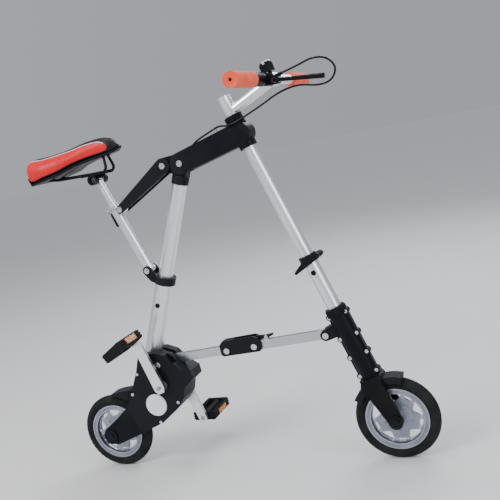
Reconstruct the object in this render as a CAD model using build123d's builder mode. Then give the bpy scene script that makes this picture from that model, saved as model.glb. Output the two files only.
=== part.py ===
"""Folding bicycle with an A-shaped frame, telescoping legs and 8 inch wheels.

The origin is on the floor, midway between the two axles. +X is forward, +Y is to the
rider's left and +Z is up. Sizes are in millimetres, angles in degrees.
Points named with two numbers lie in the middle plane of the bicycle, as (X, Z).
"""

from build123d import *
from math import atan2, cos, hypot, pi, radians, sin, tan
import os

os.makedirs("parts", exist_ok=True)

# ---------------------------------------------------------------- driving dimensions
wheelbase = 766
tyre_radius = 100
tyre_section = 15.5
hub_half_width = 19
hub_radius = 19
axle_radius = 5

rear_leg_angle = 67.1
head_angle = 72
fork_rake = 11
apex_height = 777

rear_upper_radius = 18.5
rear_lower_radius = 23
front_upper_radius = 15.3
front_lower_radius = front_upper_radius + 2.2
tube_wall = 1.8
slide_gap = 0.05
turn_gap = 0.3

rear_travel = 150
front_travel = 230

handlebar_width = 520
handlebar_height = 921
handlebar_radius = 11.1
grip_radius = 16.5
control_room = 138

seat_tube_radius = 13
seat_post_radius = 10.4

crank_length = 141
crank_thickness = 11
crank_inner_y = 53
pivot_bolt_radius = 4
bolt_head_radius = 7.5

crossbar_height = 22
crossbar_half_width = 7
block_pitch = 75
rear_bar_length = 184.5

cable_diameter = 4.5

# ---------------------------------------------------------------- main points
rear_x = -wheelbase / 2
front_x = wheelbase / 2
rear_axle_point = (rear_x, tyre_radius)
front_axle_point = (front_x, tyre_radius)
apex = (rear_x + 358, apex_height)
strut_top = (apex[0] - 48, apex_height + 2)
strut_foot = (rear_x + 168, 693)
seat_foot = (rear_x + 205, 529)
# The rear end of the crossbar lies just ahead of the lower leg tube.
bar_rear_height = 288
leg_lean = radians(rear_leg_angle)
bar_rear = (
    apex[0] - (apex_height - bar_rear_height) / tan(leg_lean)
    + (rear_lower_radius + crossbar_height / 2 + 0.6) / sin(leg_lean),
    bar_rear_height,
)
bottom_bracket = (rear_x + 188.6, 233.6)
jackshaft_point = (rear_x + 159, 182)
bar_front = (front_x - 132, 318)
handlebar_point = (front_x - 148, handlebar_height)

rear_tilt = radians(rear_leg_angle)
head_tilt = radians(head_angle)
rear_direction = (cos(rear_tilt), 0, sin(rear_tilt))
head_direction = (-cos(head_tilt), 0, sin(head_tilt))
head_foot = (front_x - fork_rake * sin(head_tilt), tyre_radius - fork_rake * cos(head_tilt))

# Both leg frames have their z along the leg, upwards, and their y towards the rear.
rear_leg = Plane(origin=(apex[0], 0, apex[1]), x_dir=(0, 1, 0), z_dir=rear_direction)
front_leg = Plane(origin=(head_foot[0], 0, head_foot[1]), x_dir=(0, 1, 0), z_dir=head_direction)

seat_rise = 265
seat_tilt = radians(110.1)
seat_direction = (cos(seat_tilt), 0, sin(seat_tilt))
seat_line = Plane(origin=(seat_foot[0], 0, seat_foot[1]), x_dir=(0, 1, 0), z_dir=seat_direction)

# ---------------------------------------------------------------- stations along the legs
rear_collar_top = -292
rear_collar_height = 20
rear_upper_end = rear_collar_top - 62
rear_lower_end = -557

crown_low = 105
crown_high = 117
housing_low = crown_high + 1
housing_high = 300
front_collar_low = 418
front_collar_height = 19
front_upper_end = 365
head_low = 722
head_step = 778
head_high = 803
stem_low = head_high + 3
quill_radius = 13.9
quill_depth = 34
stem_high = 851

# ---------------------------------------------------------------- lateral places
clevis_gap = 13.6
clevis_out = 18.5
beam_half_width = 21
case_right = -42
case_left = 30
case_wall = 3.5
final_chain_y = -26.5
first_chain_y = -33.5
arm_inner = 21.5
blade_out = 30


# ---------------------------------------------------------------- helpers
def side(y):
    """Sketch plane that faces the rider's right, with local axes along X and Z."""
    return Plane.XZ.offset(-y)


def along(plane, s, offset=0):
    """Point (X, Z) at a station of a leg, offset towards the rear."""
    point = plane.from_local_coords((0, offset, s))
    return (point.X, point.Z)


def line_point(start, end, distance):
    """Point at a distance from start towards end."""
    length = hypot(end[0] - start[0], end[1] - start[1])
    return (
        start[0] + (end[0] - start[0]) * distance / length,
        start[1] + (end[1] - start[1]) * distance / length,
    )


def disc(point, radius, y_low, y_high, mode=Mode.ADD):
    """Cylinder across the bicycle, from y_low to y_high."""
    with BuildSketch(side(y_high)) as face:
        with Locations(point):
            Circle(radius)
    extrude(face.sketch, amount=y_high - y_low, mode=mode)


def link(circles, y_low, y_high, mode=Mode.ADD):
    """Plate with straight edges tangent to the given (point, radius) circles."""
    with BuildSketch(side(y_high)) as face:
        with BuildLine():
            for point, radius in circles:
                CenterArc(point, radius, 0, 360)
        make_hull()
    extrude(face.sketch, amount=y_high - y_low, mode=mode)


def plate(points, y_low, y_high, corner=0, mode=Mode.ADD):
    """Plate with a closed polygon outline and rounded corners."""
    with BuildSketch(side(y_high)) as face:
        with BuildLine():
            Polyline(*points, close=True)
        make_face()
        if corner:
            fillet(face.vertices(), corner)
    extrude(face.sketch, amount=y_high - y_low, mode=mode)


def rod(plane, radius, low, high, mode=Mode.ADD):
    """Cylinder along the z of a plane, from low to high."""
    with BuildSketch(plane.offset(low)) as face:
        Circle(radius)
    extrude(face.sketch, amount=high - low, mode=mode)


def finish(builder, name):
    """Label a finished piece and write it."""
    builder.part.label = name
    export_step(builder.part, f"parts/{name}.step")


# ---------------------------------------------------------------- brake cable route
bar_half_width = handlebar_width / 2
grip_inner = control_room
brake_y = -grip_inner + 75
cable_upper_points = [
    (handlebar_point[0] + 47.5, brake_y - 1, handlebar_point[1] + 5.5),
    (handlebar_point[0] + 80, brake_y - 1, handlebar_point[1] + 12),
    (handlebar_point[0] + 114, brake_y, handlebar_point[1] + 22),
    (handlebar_point[0] + 146, brake_y + 2, handlebar_point[1] + 17),
    (handlebar_point[0] + 164, brake_y + 4, handlebar_point[1] - 8),
    (handlebar_point[0] + 148, brake_y + 7, handlebar_point[1] - 34),
    (handlebar_point[0] + 114, brake_y + 12, handlebar_point[1] - 37),
    (handlebar_point[0] + 72, brake_y + 20, handlebar_point[1] - 25),
    (handlebar_point[0] + 22, brake_y + 26, handlebar_point[1] - 32),
    (handlebar_point[0] - 26, brake_y + 31, handlebar_point[1] - 52),
    (handlebar_point[0] - 68, brake_y + 33, handlebar_point[1] - 67),
]
head_centre = along(front_leg, 758)
beam_length = hypot(apex[0] - head_centre[0], apex[1] - head_centre[1])


def over_beam(share, height, y):
    """Point over the beam, at a share of its length from the head and a height above its centre line."""
    place = line_point(head_centre, apex, share * beam_length)
    ux = (head_centre[0] - apex[0]) / beam_length
    uz = (head_centre[1] - apex[1]) / beam_length
    return (place[0] - uz * height, y, place[1] + ux * height)


# The lower cable leaves in line with the upper one, passes the head block and enters the beam.
cable_lower_points = [
    cable_upper_points[-1],
    tuple(last + 0.5 * (last - before) for before, last in zip(cable_upper_points[-2], cable_upper_points[-1])),
    (handlebar_point[0] - 118, brake_y + 36, handlebar_point[1] - 81),
    over_beam(0.2236, 37.0, brake_y + 44),
    over_beam(0.378, 35.5, brake_y + 53),
    over_beam(0.552, 33.5, brake_y + 57),
    over_beam(0.715, 29.5, brake_y + 59),
    over_beam(0.839, 18.0, brake_y + 59),
]


# ---------------------------------------------------------------- beam and head block
slot_half = 14.8
head_bore = front_upper_radius + 1.7

with BuildPart() as main_beam:
    link([(apex, 26), (head_centre, 27)], -beam_half_width, beam_half_width)
    rod(front_leg, head_bore + 4.5, head_low, head_step)
    rod(front_leg, head_bore + 5, head_step, head_high)
    for rib in range(4):
        with BuildSketch(front_leg.offset(head_step + 4 + 5.5 * rib)) as groove:
            Circle(head_bore + 6.2)
            Circle(head_bore + 4.2, mode=Mode.SUBTRACT)
        extrude(groove.sketch, amount=2, mode=Mode.SUBTRACT)
    disc(apex, 33, -slot_half, slot_half, mode=Mode.SUBTRACT)
    disc(apex, pivot_bolt_radius + slide_gap, -30, 30, mode=Mode.SUBTRACT)
    rod(front_leg, head_bore, head_low - 1, head_high + 1, mode=Mode.SUBTRACT)
    cable_way = Plane(
        origin=cable_lower_points[-1],
        z_dir=Vector(cable_lower_points[-2]) - Vector(cable_lower_points[-1]),
    )
    rod(cable_way, cable_diameter / 2 + 0.6, -6, 40, mode=Mode.SUBTRACT)
finish(main_beam, "main_beam")

with BuildPart() as head_bushes:
    for low in (head_low, head_high - 12):
        rod(front_leg, head_bore, low, low + 12)
        rod(front_leg, front_upper_radius + slide_gap, low, low + 12, mode=Mode.SUBTRACT)
finish(head_bushes, "head_bushes")


def bolt(point, half_length, head=bolt_head_radius, shank=pivot_bolt_radius):
    """Through bolt across the bicycle, with a round socket head at each end."""
    disc(point, shank, -half_length, half_length)
    for y_low, y_high in ((-half_length - 3, -half_length), (half_length, half_length + 3)):
        disc(point, head, y_low, y_high)
    disc(point, 3, -half_length - 3, -half_length - 1, mode=Mode.SUBTRACT)
    disc(point, 3, half_length + 1, half_length + 3, mode=Mode.SUBTRACT)


with BuildPart() as apex_bolt:
    bolt(apex, beam_half_width)
finish(apex_bolt, "apex_bolt")

# ---------------------------------------------------------------- rear upper leg
with BuildPart() as rear_upper_tube:
    rod(rear_leg, rear_upper_radius, rear_upper_end, -32)
    rod(rear_leg, rear_upper_radius - tube_wall, rear_upper_end, -32, mode=Mode.SUBTRACT)
finish(rear_upper_tube, "rear_upper_tube")

with BuildPart() as apex_cap:
    link([(apex, 24), (strut_top, 19)], -clevis_gap + turn_gap, clevis_gap - turn_gap)
    link([(apex, 17), (along(rear_leg, -34), 17)], -14.5, 14.5)
    rod(rear_leg, rear_upper_radius + 2.6, -52, -32)
    rod(rear_leg, rear_upper_radius, -52, -32, mode=Mode.SUBTRACT)
    disc(apex, pivot_bolt_radius + slide_gap, -30, 30, mode=Mode.SUBTRACT)
    disc(strut_top, pivot_bolt_radius + slide_gap, -30, 30, mode=Mode.SUBTRACT)
finish(apex_cap, "apex_cap")

# ---------------------------------------------------------------- seat strut
strut_web_start = line_point(strut_top, strut_foot, 42)
strut_web_end = line_point(strut_top, strut_foot, 118)

with BuildPart() as seat_strut:
    for y_low, y_high in ((-clevis_out, -clevis_gap), (clevis_gap, clevis_out)):
        link([(strut_top, 19), (strut_foot, 10)], y_low, y_high)
    link([(strut_web_start, 14), (strut_web_end, 10)], -clevis_gap, clevis_gap)
    disc(strut_top, pivot_bolt_radius, -30, 30, mode=Mode.SUBTRACT)
    disc(strut_foot, pivot_bolt_radius, -30, 30, mode=Mode.SUBTRACT)
finish(seat_strut, "seat_strut")

with BuildPart() as strut_bolts:
    bolt(strut_top, clevis_out)
    for sign in (-1, 1):
        inner, outer = sorted((sign * clevis_gap, sign * clevis_out))
        disc(strut_foot, pivot_bolt_radius, inner, outer)
        inner, outer = sorted((sign * clevis_out, sign * (clevis_out + 3)))
        disc(strut_foot, bolt_head_radius, inner, outer)
        inner, outer = sorted((sign * (clevis_out + 1), sign * (clevis_out + 3)))
        disc(strut_foot, 3, inner, outer, mode=Mode.SUBTRACT)
finish(strut_bolts, "strut_bolts")

# ---------------------------------------------------------------- rear lower leg
rear_button_point = along(rear_leg, -368)

with BuildPart() as rear_lower_tube:
    rod(rear_leg, rear_lower_radius, rear_lower_end, rear_collar_top - 4)
    rod(rear_leg, rear_lower_radius - tube_wall, rear_lower_end + 3, rear_collar_top, mode=Mode.SUBTRACT)
    disc(rear_button_point, 6.3, -30, 0, mode=Mode.SUBTRACT)
finish(rear_lower_tube, "rear_lower_tube")

with BuildPart() as rear_collar:
    rod(rear_leg, rear_lower_radius + 4.2, rear_collar_top - rear_collar_height, rear_collar_top)
    for y_low, y_high in ((-clevis_out, -clevis_gap), (clevis_gap, clevis_out)):
        link([(seat_foot, 12), (along(rear_leg, rear_collar_top - 9, 26), 11)], y_low, y_high)
        link(
            [(along(rear_leg, rear_collar_top - 9, 26), 11), (along(rear_leg, rear_collar_top - 11, 12), 9)],
            y_low,
            y_high,
        )
    rod(rear_leg, rear_lower_radius, rear_collar_top - 30, rear_collar_top - 4, mode=Mode.SUBTRACT)
    rod(rear_leg, rear_lower_radius - tube_wall, rear_collar_top - 44, rear_collar_top - 4)
    rod(rear_leg, rear_upper_radius + slide_gap, rear_collar_top - 50, -240, mode=Mode.SUBTRACT)
    disc(seat_foot, pivot_bolt_radius, -30, 30, mode=Mode.SUBTRACT)
finish(rear_collar, "rear_collar")

with BuildPart() as rear_button:
    disc(rear_button_point, 6, -rear_lower_radius - 2.5, -rear_lower_radius + tube_wall + 0.8)
    chamfer(rear_button.faces().sort_by(Axis.Y)[0].edges(), 1)
finish(rear_button, "rear_button")

# ---------------------------------------------------------------- drive case
ring_teeth_radius = 31
jack_small_radius = 17
jack_large_radius = 30
rear_sprocket_radius = 14
sprocket_thickness = 3
chain_pitch = 8
tooth_height = 2.4
roller_radius = 2.2
chain_reach = 3.2
chain_runs = (
    (bottom_bracket, ring_teeth_radius, jackshaft_point, jack_small_radius),
    (jackshaft_point, jack_large_radius, rear_axle_point, rear_sprocket_radius),
)
wheel_clear = tyre_radius + 4
case_outline = [
    (rear_x + 86, 205),
    (rear_x + 93, 220),
    (rear_x + 121, 276),
    (rear_x + 137, 318),
    (rear_x + 187, 320),
    (rear_x + 218, 308),
    (rear_x + 242, 278),
    (rear_x + 284, 249),
    (rear_x + 249, 222),
    (rear_x + 240, 194),
    (rear_x + 220, 171),
    (rear_x + 167, 132),
    (rear_x + 136, 120),
    (rear_x + 99, 105),
    (rear_x + 18, 76),
    (rear_x - 15, 80),
    (rear_x - 23, 98),
    (rear_x - 13, 120),
    (rear_x + 26, 146),
    (rear_x + 65, 176),
]
hump_outline = [
    (rear_x + 2, 204),
    (rear_x + 16, 210),
    (rear_x + 38, 214),
    (rear_x + 68, 217),
    (rear_x + 100, 214),
    (rear_x + 100, 180),
    (rear_x + 60, 175),
]
bearing_radius = 13
spindle_radius = 8
socket_radius = rear_lower_radius


def bar_clearance(mode=Mode.SUBTRACT):
    """Room for the crossbar's rear end, from its locked place up to the folded one."""
    half = crossbar_half_width + turn_gap
    plate(
        [
            (bar_rear[0] - 4, bar_rear[1] - 13),
            (bar_rear[0] + 110, bar_rear[1] - 6),
            (bar_rear[0] + 110, bar_rear[1] + 60),
            (bar_rear[0], bar_rear[1] + 60),
            (bar_rear[0] - 20, bar_rear[1] + 12),
        ],
        -half,
        half,
        mode=mode,
    )
    disc(bar_rear, crossbar_height / 2 + 2, -half, half, mode=mode)


with BuildPart() as drive_case_right:
    plate(case_outline, case_right, -arm_inner, corner=4)
    for room, mode in ((case_wall + 1.6, Mode.ADD), (1.6, Mode.SUBTRACT)):
        low = case_right if mode == Mode.ADD else case_right + case_wall
        for start, start_radius, end, end_radius in chain_runs:
            start_room = start_radius + chain_reach + room
            end_room = end_radius + chain_reach + room
            link([(start, start_room), (end, end_room)], low, -arm_inner, mode=mode)
    disc(rear_axle_point, 19, case_right - 3, case_right)
    plate(
        [
            (rear_x + 210, 350),
            (rear_x + 210, 308),
            (rear_x + 221, 289),
            (rear_x + 254, 286),
            (rear_x + 292, 262),
            (rear_x + 330, 262),
            (rear_x + 330, 350),
        ],
        case_right - 5,
        -arm_inner,
        mode=Mode.SUBTRACT,
    )
    rod(rear_leg, socket_radius, rear_lower_end, -480, mode=Mode.SUBTRACT)
    disc(rear_axle_point, axle_radius, case_right - 5, 0, mode=Mode.SUBTRACT)
    disc(bottom_bracket, bearing_radius, case_right - 5, 0, mode=Mode.SUBTRACT)
    disc(jackshaft_point, bearing_radius, case_right - 5, 0, mode=Mode.SUBTRACT)
    disc(bar_rear, pivot_bolt_radius, case_right - 5, 0, mode=Mode.SUBTRACT)
finish(drive_case_right, "drive_case_right")

with BuildPart() as drive_case_left:
    plate(case_outline, -arm_inner, case_left, corner=4)
    plate(hump_outline, -19.5, 19.5, corner=5)
    disc(rear_axle_point, wheel_clear, -arm_inner + 2, arm_inner, mode=Mode.SUBTRACT)
    plate(
        [
            (rear_x - 30, 60),
            (rear_x + 104, 60),
            (rear_x + 104, 130),
            (rear_x + 88, 160),
            (rear_x - 30, 160),
        ],
        -arm_inner + 2,
        arm_inner,
        mode=Mode.SUBTRACT,
    )
    plate(
        [
            (rear_x + 128, 146),
            (rear_x + 128, 236),
            (rear_x + 150, 246),
            (rear_x + 224, 250),
            (rear_x + 232, 226),
            (rear_x + 224, 190),
            (rear_x + 170, 146),
        ],
        -arm_inner + 3,
        case_left - 5,
        mode=Mode.SUBTRACT,
    )
    disc(rear_axle_point, 34, -arm_inner, -arm_inner + 2, mode=Mode.SUBTRACT)
    plate(
        [(rear_x + 272, 215), (rear_x + 340, 215), (rear_x + 340, 330), (rear_x + 262, 330)],
        -arm_inner,
        case_left + 1,
        mode=Mode.SUBTRACT,
    )
    rod(rear_leg, socket_radius, rear_lower_end, -480, mode=Mode.SUBTRACT)
    bar_clearance()
    disc(bottom_bracket, bearing_radius, -arm_inner, case_left, mode=Mode.SUBTRACT)
    disc(jackshaft_point, bearing_radius, -arm_inner, case_left - 5, mode=Mode.SUBTRACT)
    disc(rear_axle_point, axle_radius, 0, case_left, mode=Mode.SUBTRACT)
    disc(bar_rear, pivot_bolt_radius, -30, case_left, mode=Mode.SUBTRACT)
finish(drive_case_left, "drive_case_left")

case_screw_points = [
    (rear_x + 122, 268),
    (rear_x + 95, 214),
    (rear_x + 223, 185),
    (rear_x + 160, 134),
]
with BuildPart() as rear_fasteners:
    for point in case_screw_points:
        disc(point, 4, case_right - 2, case_right)
        disc(point, 1.6, case_right - 2, case_right - 0.8, mode=Mode.SUBTRACT)
    disc(bar_rear, pivot_bolt_radius, case_right, case_left)
    disc(bar_rear, bolt_head_radius, case_right - 3, case_right)
    disc(bar_rear, 3, case_right - 3, case_right - 1, mode=Mode.SUBTRACT)
    bolt(seat_foot, clevis_out)
finish(rear_fasteners, "rear_fasteners")

with BuildPart() as chain_cover_disc:
    disc(jackshaft_point, 29.5, case_right - 4, case_right)
    fillet(chain_cover_disc.faces().sort_by(Axis.Y)[0].edges(), 1.5)
finish(chain_cover_disc, "chain_cover_disc")

with BuildPart() as rear_axle:
    disc(rear_axle_point, axle_radius, case_right - 3, case_left)
    disc(rear_axle_point, 9, case_left, case_left + 6)
    disc(rear_axle_point, 8, case_right - 6, case_right - 3)
finish(rear_axle, "rear_axle")


def ring(point, outer, inner, y_low, y_high):
    """Flat ring across the bicycle."""
    disc(point, outer, y_low, y_high)
    disc(point, inner, y_low, y_high, mode=Mode.SUBTRACT)


with BuildPart() as rear_bearings:
    ring(bottom_bracket, bearing_radius, spindle_radius + slide_gap, case_right, case_right + case_wall)
    ring(bottom_bracket, bearing_radius, spindle_radius + slide_gap, case_left - 8, case_left)
    ring(jackshaft_point, bearing_radius, spindle_radius + slide_gap, case_right, case_right + case_wall)
    for low in (-hub_half_width + 1, hub_half_width - 7):
        ring(rear_axle_point, 12, axle_radius, low, low + 6)
finish(rear_bearings, "rear_bearings")

# ---------------------------------------------------------------- drive train
def sprocket(point, pitch_radius, y_mid):
    """Toothed disc whose teeth are notched at the chain pitch."""
    teeth = round(2 * pi * pitch_radius / chain_pitch)
    with BuildSketch(side(y_mid + sprocket_thickness / 2)) as face:
        with Locations(point):
            Circle(pitch_radius + tooth_height)
            with PolarLocations(pitch_radius + tooth_height + 0.4, teeth):
                Circle(2.5, mode=Mode.SUBTRACT)
    extrude(face.sketch, amount=sprocket_thickness)


def chain(start, start_radius, end, end_radius, y_mid):
    """Chain as two loops of side plates outside the teeth, with rollers on the straight runs."""
    plate_thickness = 1.2
    inner_face = sprocket_thickness / 2 + turn_gap
    for y_low in (y_mid - inner_face - plate_thickness, y_mid + inner_face):
        link([(start, start_radius + chain_reach), (end, end_radius + chain_reach)], y_low, y_low + plate_thickness)
        link(
            [(start, start_radius - chain_reach), (end, end_radius - chain_reach)],
            y_low,
            y_low + plate_thickness,
            mode=Mode.SUBTRACT,
        )
    gap = hypot(end[0] - start[0], end[1] - start[1])
    heading = atan2(end[1] - start[1], end[0] - start[0])
    lean = (start_radius - end_radius) / gap
    run = (gap**2 - (start_radius - end_radius) ** 2) ** 0.5
    clear = tooth_height + roller_radius + turn_gap
    free_start = ((start_radius + clear) ** 2 - start_radius**2) ** 0.5
    free_end = ((end_radius + clear) ** 2 - end_radius**2) ** 0.5
    for edge in (-1, 1):
        normal = heading + edge * (pi / 2 - lean)
        travel = heading - edge * lean
        distance = free_start
        while distance < run - free_end:
            centre = (
                start[0] + start_radius * cos(normal) + distance * cos(travel),
                start[1] + start_radius * sin(normal) + distance * sin(travel),
            )
            disc(centre, roller_radius, y_mid - inner_face - plate_thickness, y_mid + inner_face + plate_thickness)
            distance += chain_pitch


with BuildPart() as jackshaft:
    disc(jackshaft_point, spindle_radius, case_right, -arm_inner + 2)
    sprocket(jackshaft_point, jack_small_radius, first_chain_y)
    sprocket(jackshaft_point, jack_large_radius, final_chain_y)
finish(jackshaft, "jackshaft")

with BuildPart() as rear_sprocket:
    sprocket(rear_axle_point, rear_sprocket_radius, final_chain_y)
    disc(rear_axle_point, 10, final_chain_y + 1, -hub_half_width - turn_gap)
    disc(rear_axle_point, axle_radius + slide_gap, -40, 0, mode=Mode.SUBTRACT)
finish(rear_sprocket, "rear_sprocket")

with BuildPart() as drive_chains:
    for run, y_mid in zip(chain_runs, (first_chain_y, final_chain_y)):
        chain(*run, y_mid)
finish(drive_chains, "drive_chains")

# ---------------------------------------------------------------- cranks
crank_angle = 107.2
right_pedal_point = (
    bottom_bracket[0] + crank_length * cos(radians(crank_angle)),
    bottom_bracket[1] + crank_length * sin(radians(crank_angle)),
)
left_pedal_point = (
    2 * bottom_bracket[0] - right_pedal_point[0],
    2 * bottom_bracket[1] - right_pedal_point[1],
)
crank_outer_y = crank_inner_y + crank_thickness

with BuildPart() as crank_spindle:
    disc(bottom_bracket, spindle_radius, -crank_inner_y, crank_inner_y)
    sprocket(bottom_bracket, ring_teeth_radius, first_chain_y)
    disc(bottom_bracket, 5, -crank_outer_y - 1.5, crank_outer_y + 1.5)
    with Locations(Location((bottom_bracket[0], 0, bottom_bracket[1]))):
        for y in (-crank_outer_y - 3, crank_outer_y + 3):
            with BuildSketch(side(y + 2)) as hexagon:
                with Locations(bottom_bracket):
                    RegularPolygon(5.5, 6)
            extrude(hexagon.sketch, amount=4)
finish(crank_spindle, "crank_spindle")


def crank(pedal_point, y_low, y_high):
    """Tapered flat arm with a squared end at the spindle."""
    tail = line_point(bottom_bracket, pedal_point, -15)
    square = line_point(bottom_bracket, pedal_point, -9)
    link([(bottom_bracket, 15), (pedal_point, 11.5)], y_low, y_high)
    across = (
        (pedal_point[1] - bottom_bracket[1]) / crank_length * 11.5,
        -(pedal_point[0] - bottom_bracket[0]) / crank_length * 11.5,
    )
    plate(
        [
            (square[0] + across[0], square[1] + across[1]),
            (tail[0] + across[0] * 0.8, tail[1] + across[1] * 0.8),
            (tail[0] - across[0] * 0.8, tail[1] - across[1] * 0.8),
            (square[0] - across[0], square[1] - across[1]),
        ],
        y_low,
        y_high,
    )
    disc(bottom_bracket, 5, y_low - 1, y_high + 1, mode=Mode.SUBTRACT)
    disc(pedal_point, 6, y_low - 1, y_high + 1, mode=Mode.SUBTRACT)


with BuildPart() as right_crank:
    crank(right_pedal_point, -crank_outer_y, -crank_inner_y)
    fillet(right_crank.faces().sort_by(Axis.Y)[0].outer_wire().edges(), 1.5)
finish(right_crank, "right_crank")

with BuildPart() as left_crank:
    crank(left_pedal_point, crank_inner_y, crank_outer_y)
    fillet(left_crank.faces().sort_by(Axis.Y)[-1].outer_wire().edges(), 1.5)
finish(left_crank, "left_crank")

pedal_length = 96
pedal_gap = 3
with BuildPart() as pedal_axles:
    for point, sign in ((right_pedal_point, -1), (left_pedal_point, 1)):
        low, high = sorted((sign * (crank_inner_y + 2), sign * crank_outer_y))
        disc(point, 6, low, high)
        low, high = sorted((sign * crank_outer_y, sign * (crank_outer_y + pedal_gap - 0.5)))
        disc(point, 7.5, low, high)
        low, high = sorted((sign * crank_outer_y, sign * (crank_outer_y + pedal_length - 8)))
        disc(point, 4.5, low, high)
finish(pedal_axles, "pedal_axles")


def pedal(point, sign, tilt):
    """Moulded platform pedal, a cage of two serrated side bars about a barrel."""
    inner = crank_outer_y + pedal_gap
    low, high = sorted((sign * inner, sign * (inner + pedal_length)))
    disc(point, 11, low, high)
    plane = Plane(origin=(point[0], 0, point[1]), x_dir=(cos(tilt), 0, sin(tilt)), z_dir=(0, -1, 0))
    with BuildSketch(plane.offset(-high)) as ends:
        with GridLocations(1, 1, 1, 1):
            RectangleRounded(62, 24, 6)
    for y_top in (high, low + 9):
        extrude(ends.sketch.moved(Location((0, y_top - high, 0))), amount=9)
    with BuildSketch(plane.offset(-high)) as bars:
        for place in (-25, 25):
            with Locations((place, 0)):
                RectangleRounded(12, 24, 4)
        for place in range(-1, 2):
            with Locations((-31, 7 * place), (31, 7 * place)):
                Circle(2.4)
    extrude(bars.sketch, amount=high - low)
    for notch in range(9):
        for lift in (-12.8, 12.8):
            across = Plane(
                origin=(point[0] - sin(tilt) * lift, low + 8 + 10 * notch, point[1] + cos(tilt) * lift),
                z_dir=(cos(tilt), 0, sin(tilt)),
            )
            rod(across, 2.9, -34, 34, mode=Mode.SUBTRACT)
    low_bore, high_bore = sorted((sign * (inner - 1), sign * (inner + pedal_length - 9)))
    disc(point, 4.5 + slide_gap, low_bore, high_bore, mode=Mode.SUBTRACT)


pedal_tilt = radians(32)
with BuildPart() as right_pedal:
    pedal(right_pedal_point, -1, pedal_tilt)
finish(right_pedal, "right_pedal")

with BuildPart() as left_pedal:
    pedal(left_pedal_point, 1, 0)
finish(left_pedal, "left_pedal")

# ---------------------------------------------------------------- wheels
wheel_windows = 5


def wheel(point):
    """Cast wheel: channel rim, web with windows and a hub."""
    with BuildSketch(Plane.XY.offset(point[1])) as section:
        with BuildLine():
            Polyline(
                (point[0] + 62, -12.5),
                (point[0] + 66.5, -12.5),
                (point[0] + 67.3, -11.2),
                (point[0] + 69.2, -11.2),
                (point[0] + 70, -12.5),
                (point[0] + 75, -12.5),
                (point[0] + 75, -9.5),
                (point[0] + 71, -8.5),
                (point[0] + 71, 8.5),
                (point[0] + 75, 9.5),
                (point[0] + 75, 12.5),
                (point[0] + 70, 12.5),
                (point[0] + 69.2, 11.2),
                (point[0] + 67.3, 11.2),
                (point[0] + 66.5, 12.5),
                (point[0] + 62, 12.5),
                (point[0] + 62, 9.5),
                (point[0] + 66, 8.5),
                (point[0] + 66, -8.5),
                (point[0] + 62, -9.5),
                close=True,
            )
        make_face()
    revolve(section.sketch, axis=Axis((point[0], 0, point[1]), (0, 1, 0)), revolution_arc=360)
    disc(point, 66.5, -4, 4)
    disc(point, hub_radius, -hub_half_width, hub_half_width)
    disc(point, 38, -6.5, 6.5)
    for index in range(wheel_windows):
        turn = 2 * pi * index / wheel_windows + 0.35
        large = (point[0] + 46.5 * cos(turn), point[1] + 46.5 * sin(turn))
        half = turn + pi / wheel_windows
        small_a = (point[0] + 55 * cos(half - 0.10), point[1] + 55 * sin(half - 0.10))
        small_b = (point[0] + 55 * cos(half + 0.10), point[1] + 55 * sin(half + 0.10))
        outer_a = (point[0] + 56 * cos(turn - 0.22), point[1] + 56 * sin(turn - 0.22))
        outer_b = (point[0] + 56 * cos(turn + 0.22), point[1] + 56 * sin(turn + 0.22))
        link([(large, 6), (outer_a, 5), (outer_b, 5)], -8, 8, mode=Mode.SUBTRACT)
        link([(small_a, 4), (small_b, 4)], -8, 8, mode=Mode.SUBTRACT)
        bolt_place = (point[0] + 33 * cos(half), point[1] + 33 * sin(half))
        disc(bolt_place, 3, -9, 9)
    disc(point, 12 + slide_gap, -hub_half_width - 1, -hub_half_width + 7.2, mode=Mode.SUBTRACT)
    disc(point, 12 + slide_gap, hub_half_width - 7.2, hub_half_width + 1, mode=Mode.SUBTRACT)
    disc(point, axle_radius + 1, -30, 30, mode=Mode.SUBTRACT)


def tyre(point):
    """Round tyre that sits in the rim's channel."""
    centre_radius = tyre_radius - tyre_section
    with BuildSketch(Plane.XY.offset(point[1])) as section:
        with Locations((point[0] + centre_radius, 0)):
            Circle(tyre_section)
        with Locations((point[0] + 60, 0)):
            Rectangle(30.1, 60, mode=Mode.SUBTRACT)
        with Locations((point[0] + centre_radius, 0)):
            Circle(tyre_section - 4, mode=Mode.SUBTRACT)
        with Locations((point[0] + 77, 0)):
            Rectangle(4, 15, mode=Mode.SUBTRACT)
    revolve(section.sketch, axis=Axis((point[0], 0, point[1]), (0, 1, 0)), revolution_arc=360)


with BuildPart() as rear_wheel:
    wheel(rear_axle_point)
finish(rear_wheel, "rear_wheel")

with BuildPart() as rear_tyre:
    tyre(rear_axle_point)
finish(rear_tyre, "rear_tyre")

with BuildPart() as front_wheel:
    wheel(front_axle_point)
finish(front_wheel, "front_wheel")

with BuildPart() as front_tyre:
    tyre(front_axle_point)
finish(front_tyre, "front_tyre")

# ---------------------------------------------------------------- seat tube, post and saddle
seat_tube_top = 190

with BuildPart() as seat_tube:
    rod(seat_line, seat_tube_radius, 0, seat_tube_top)
    disc(seat_foot, 11, -12, 12)
    link([(strut_foot, 9), (along(seat_line, 166), 9)], -7, 7)
    rod(seat_line, seat_post_radius + slide_gap, 16, seat_tube_top + 1, mode=Mode.SUBTRACT)
    disc(seat_foot, pivot_bolt_radius + slide_gap, -30, 30, mode=Mode.SUBTRACT)
    disc(strut_foot, pivot_bolt_radius + 0.5, -30, 30, mode=Mode.SUBTRACT)
finish(seat_tube, "seat_tube")

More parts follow.
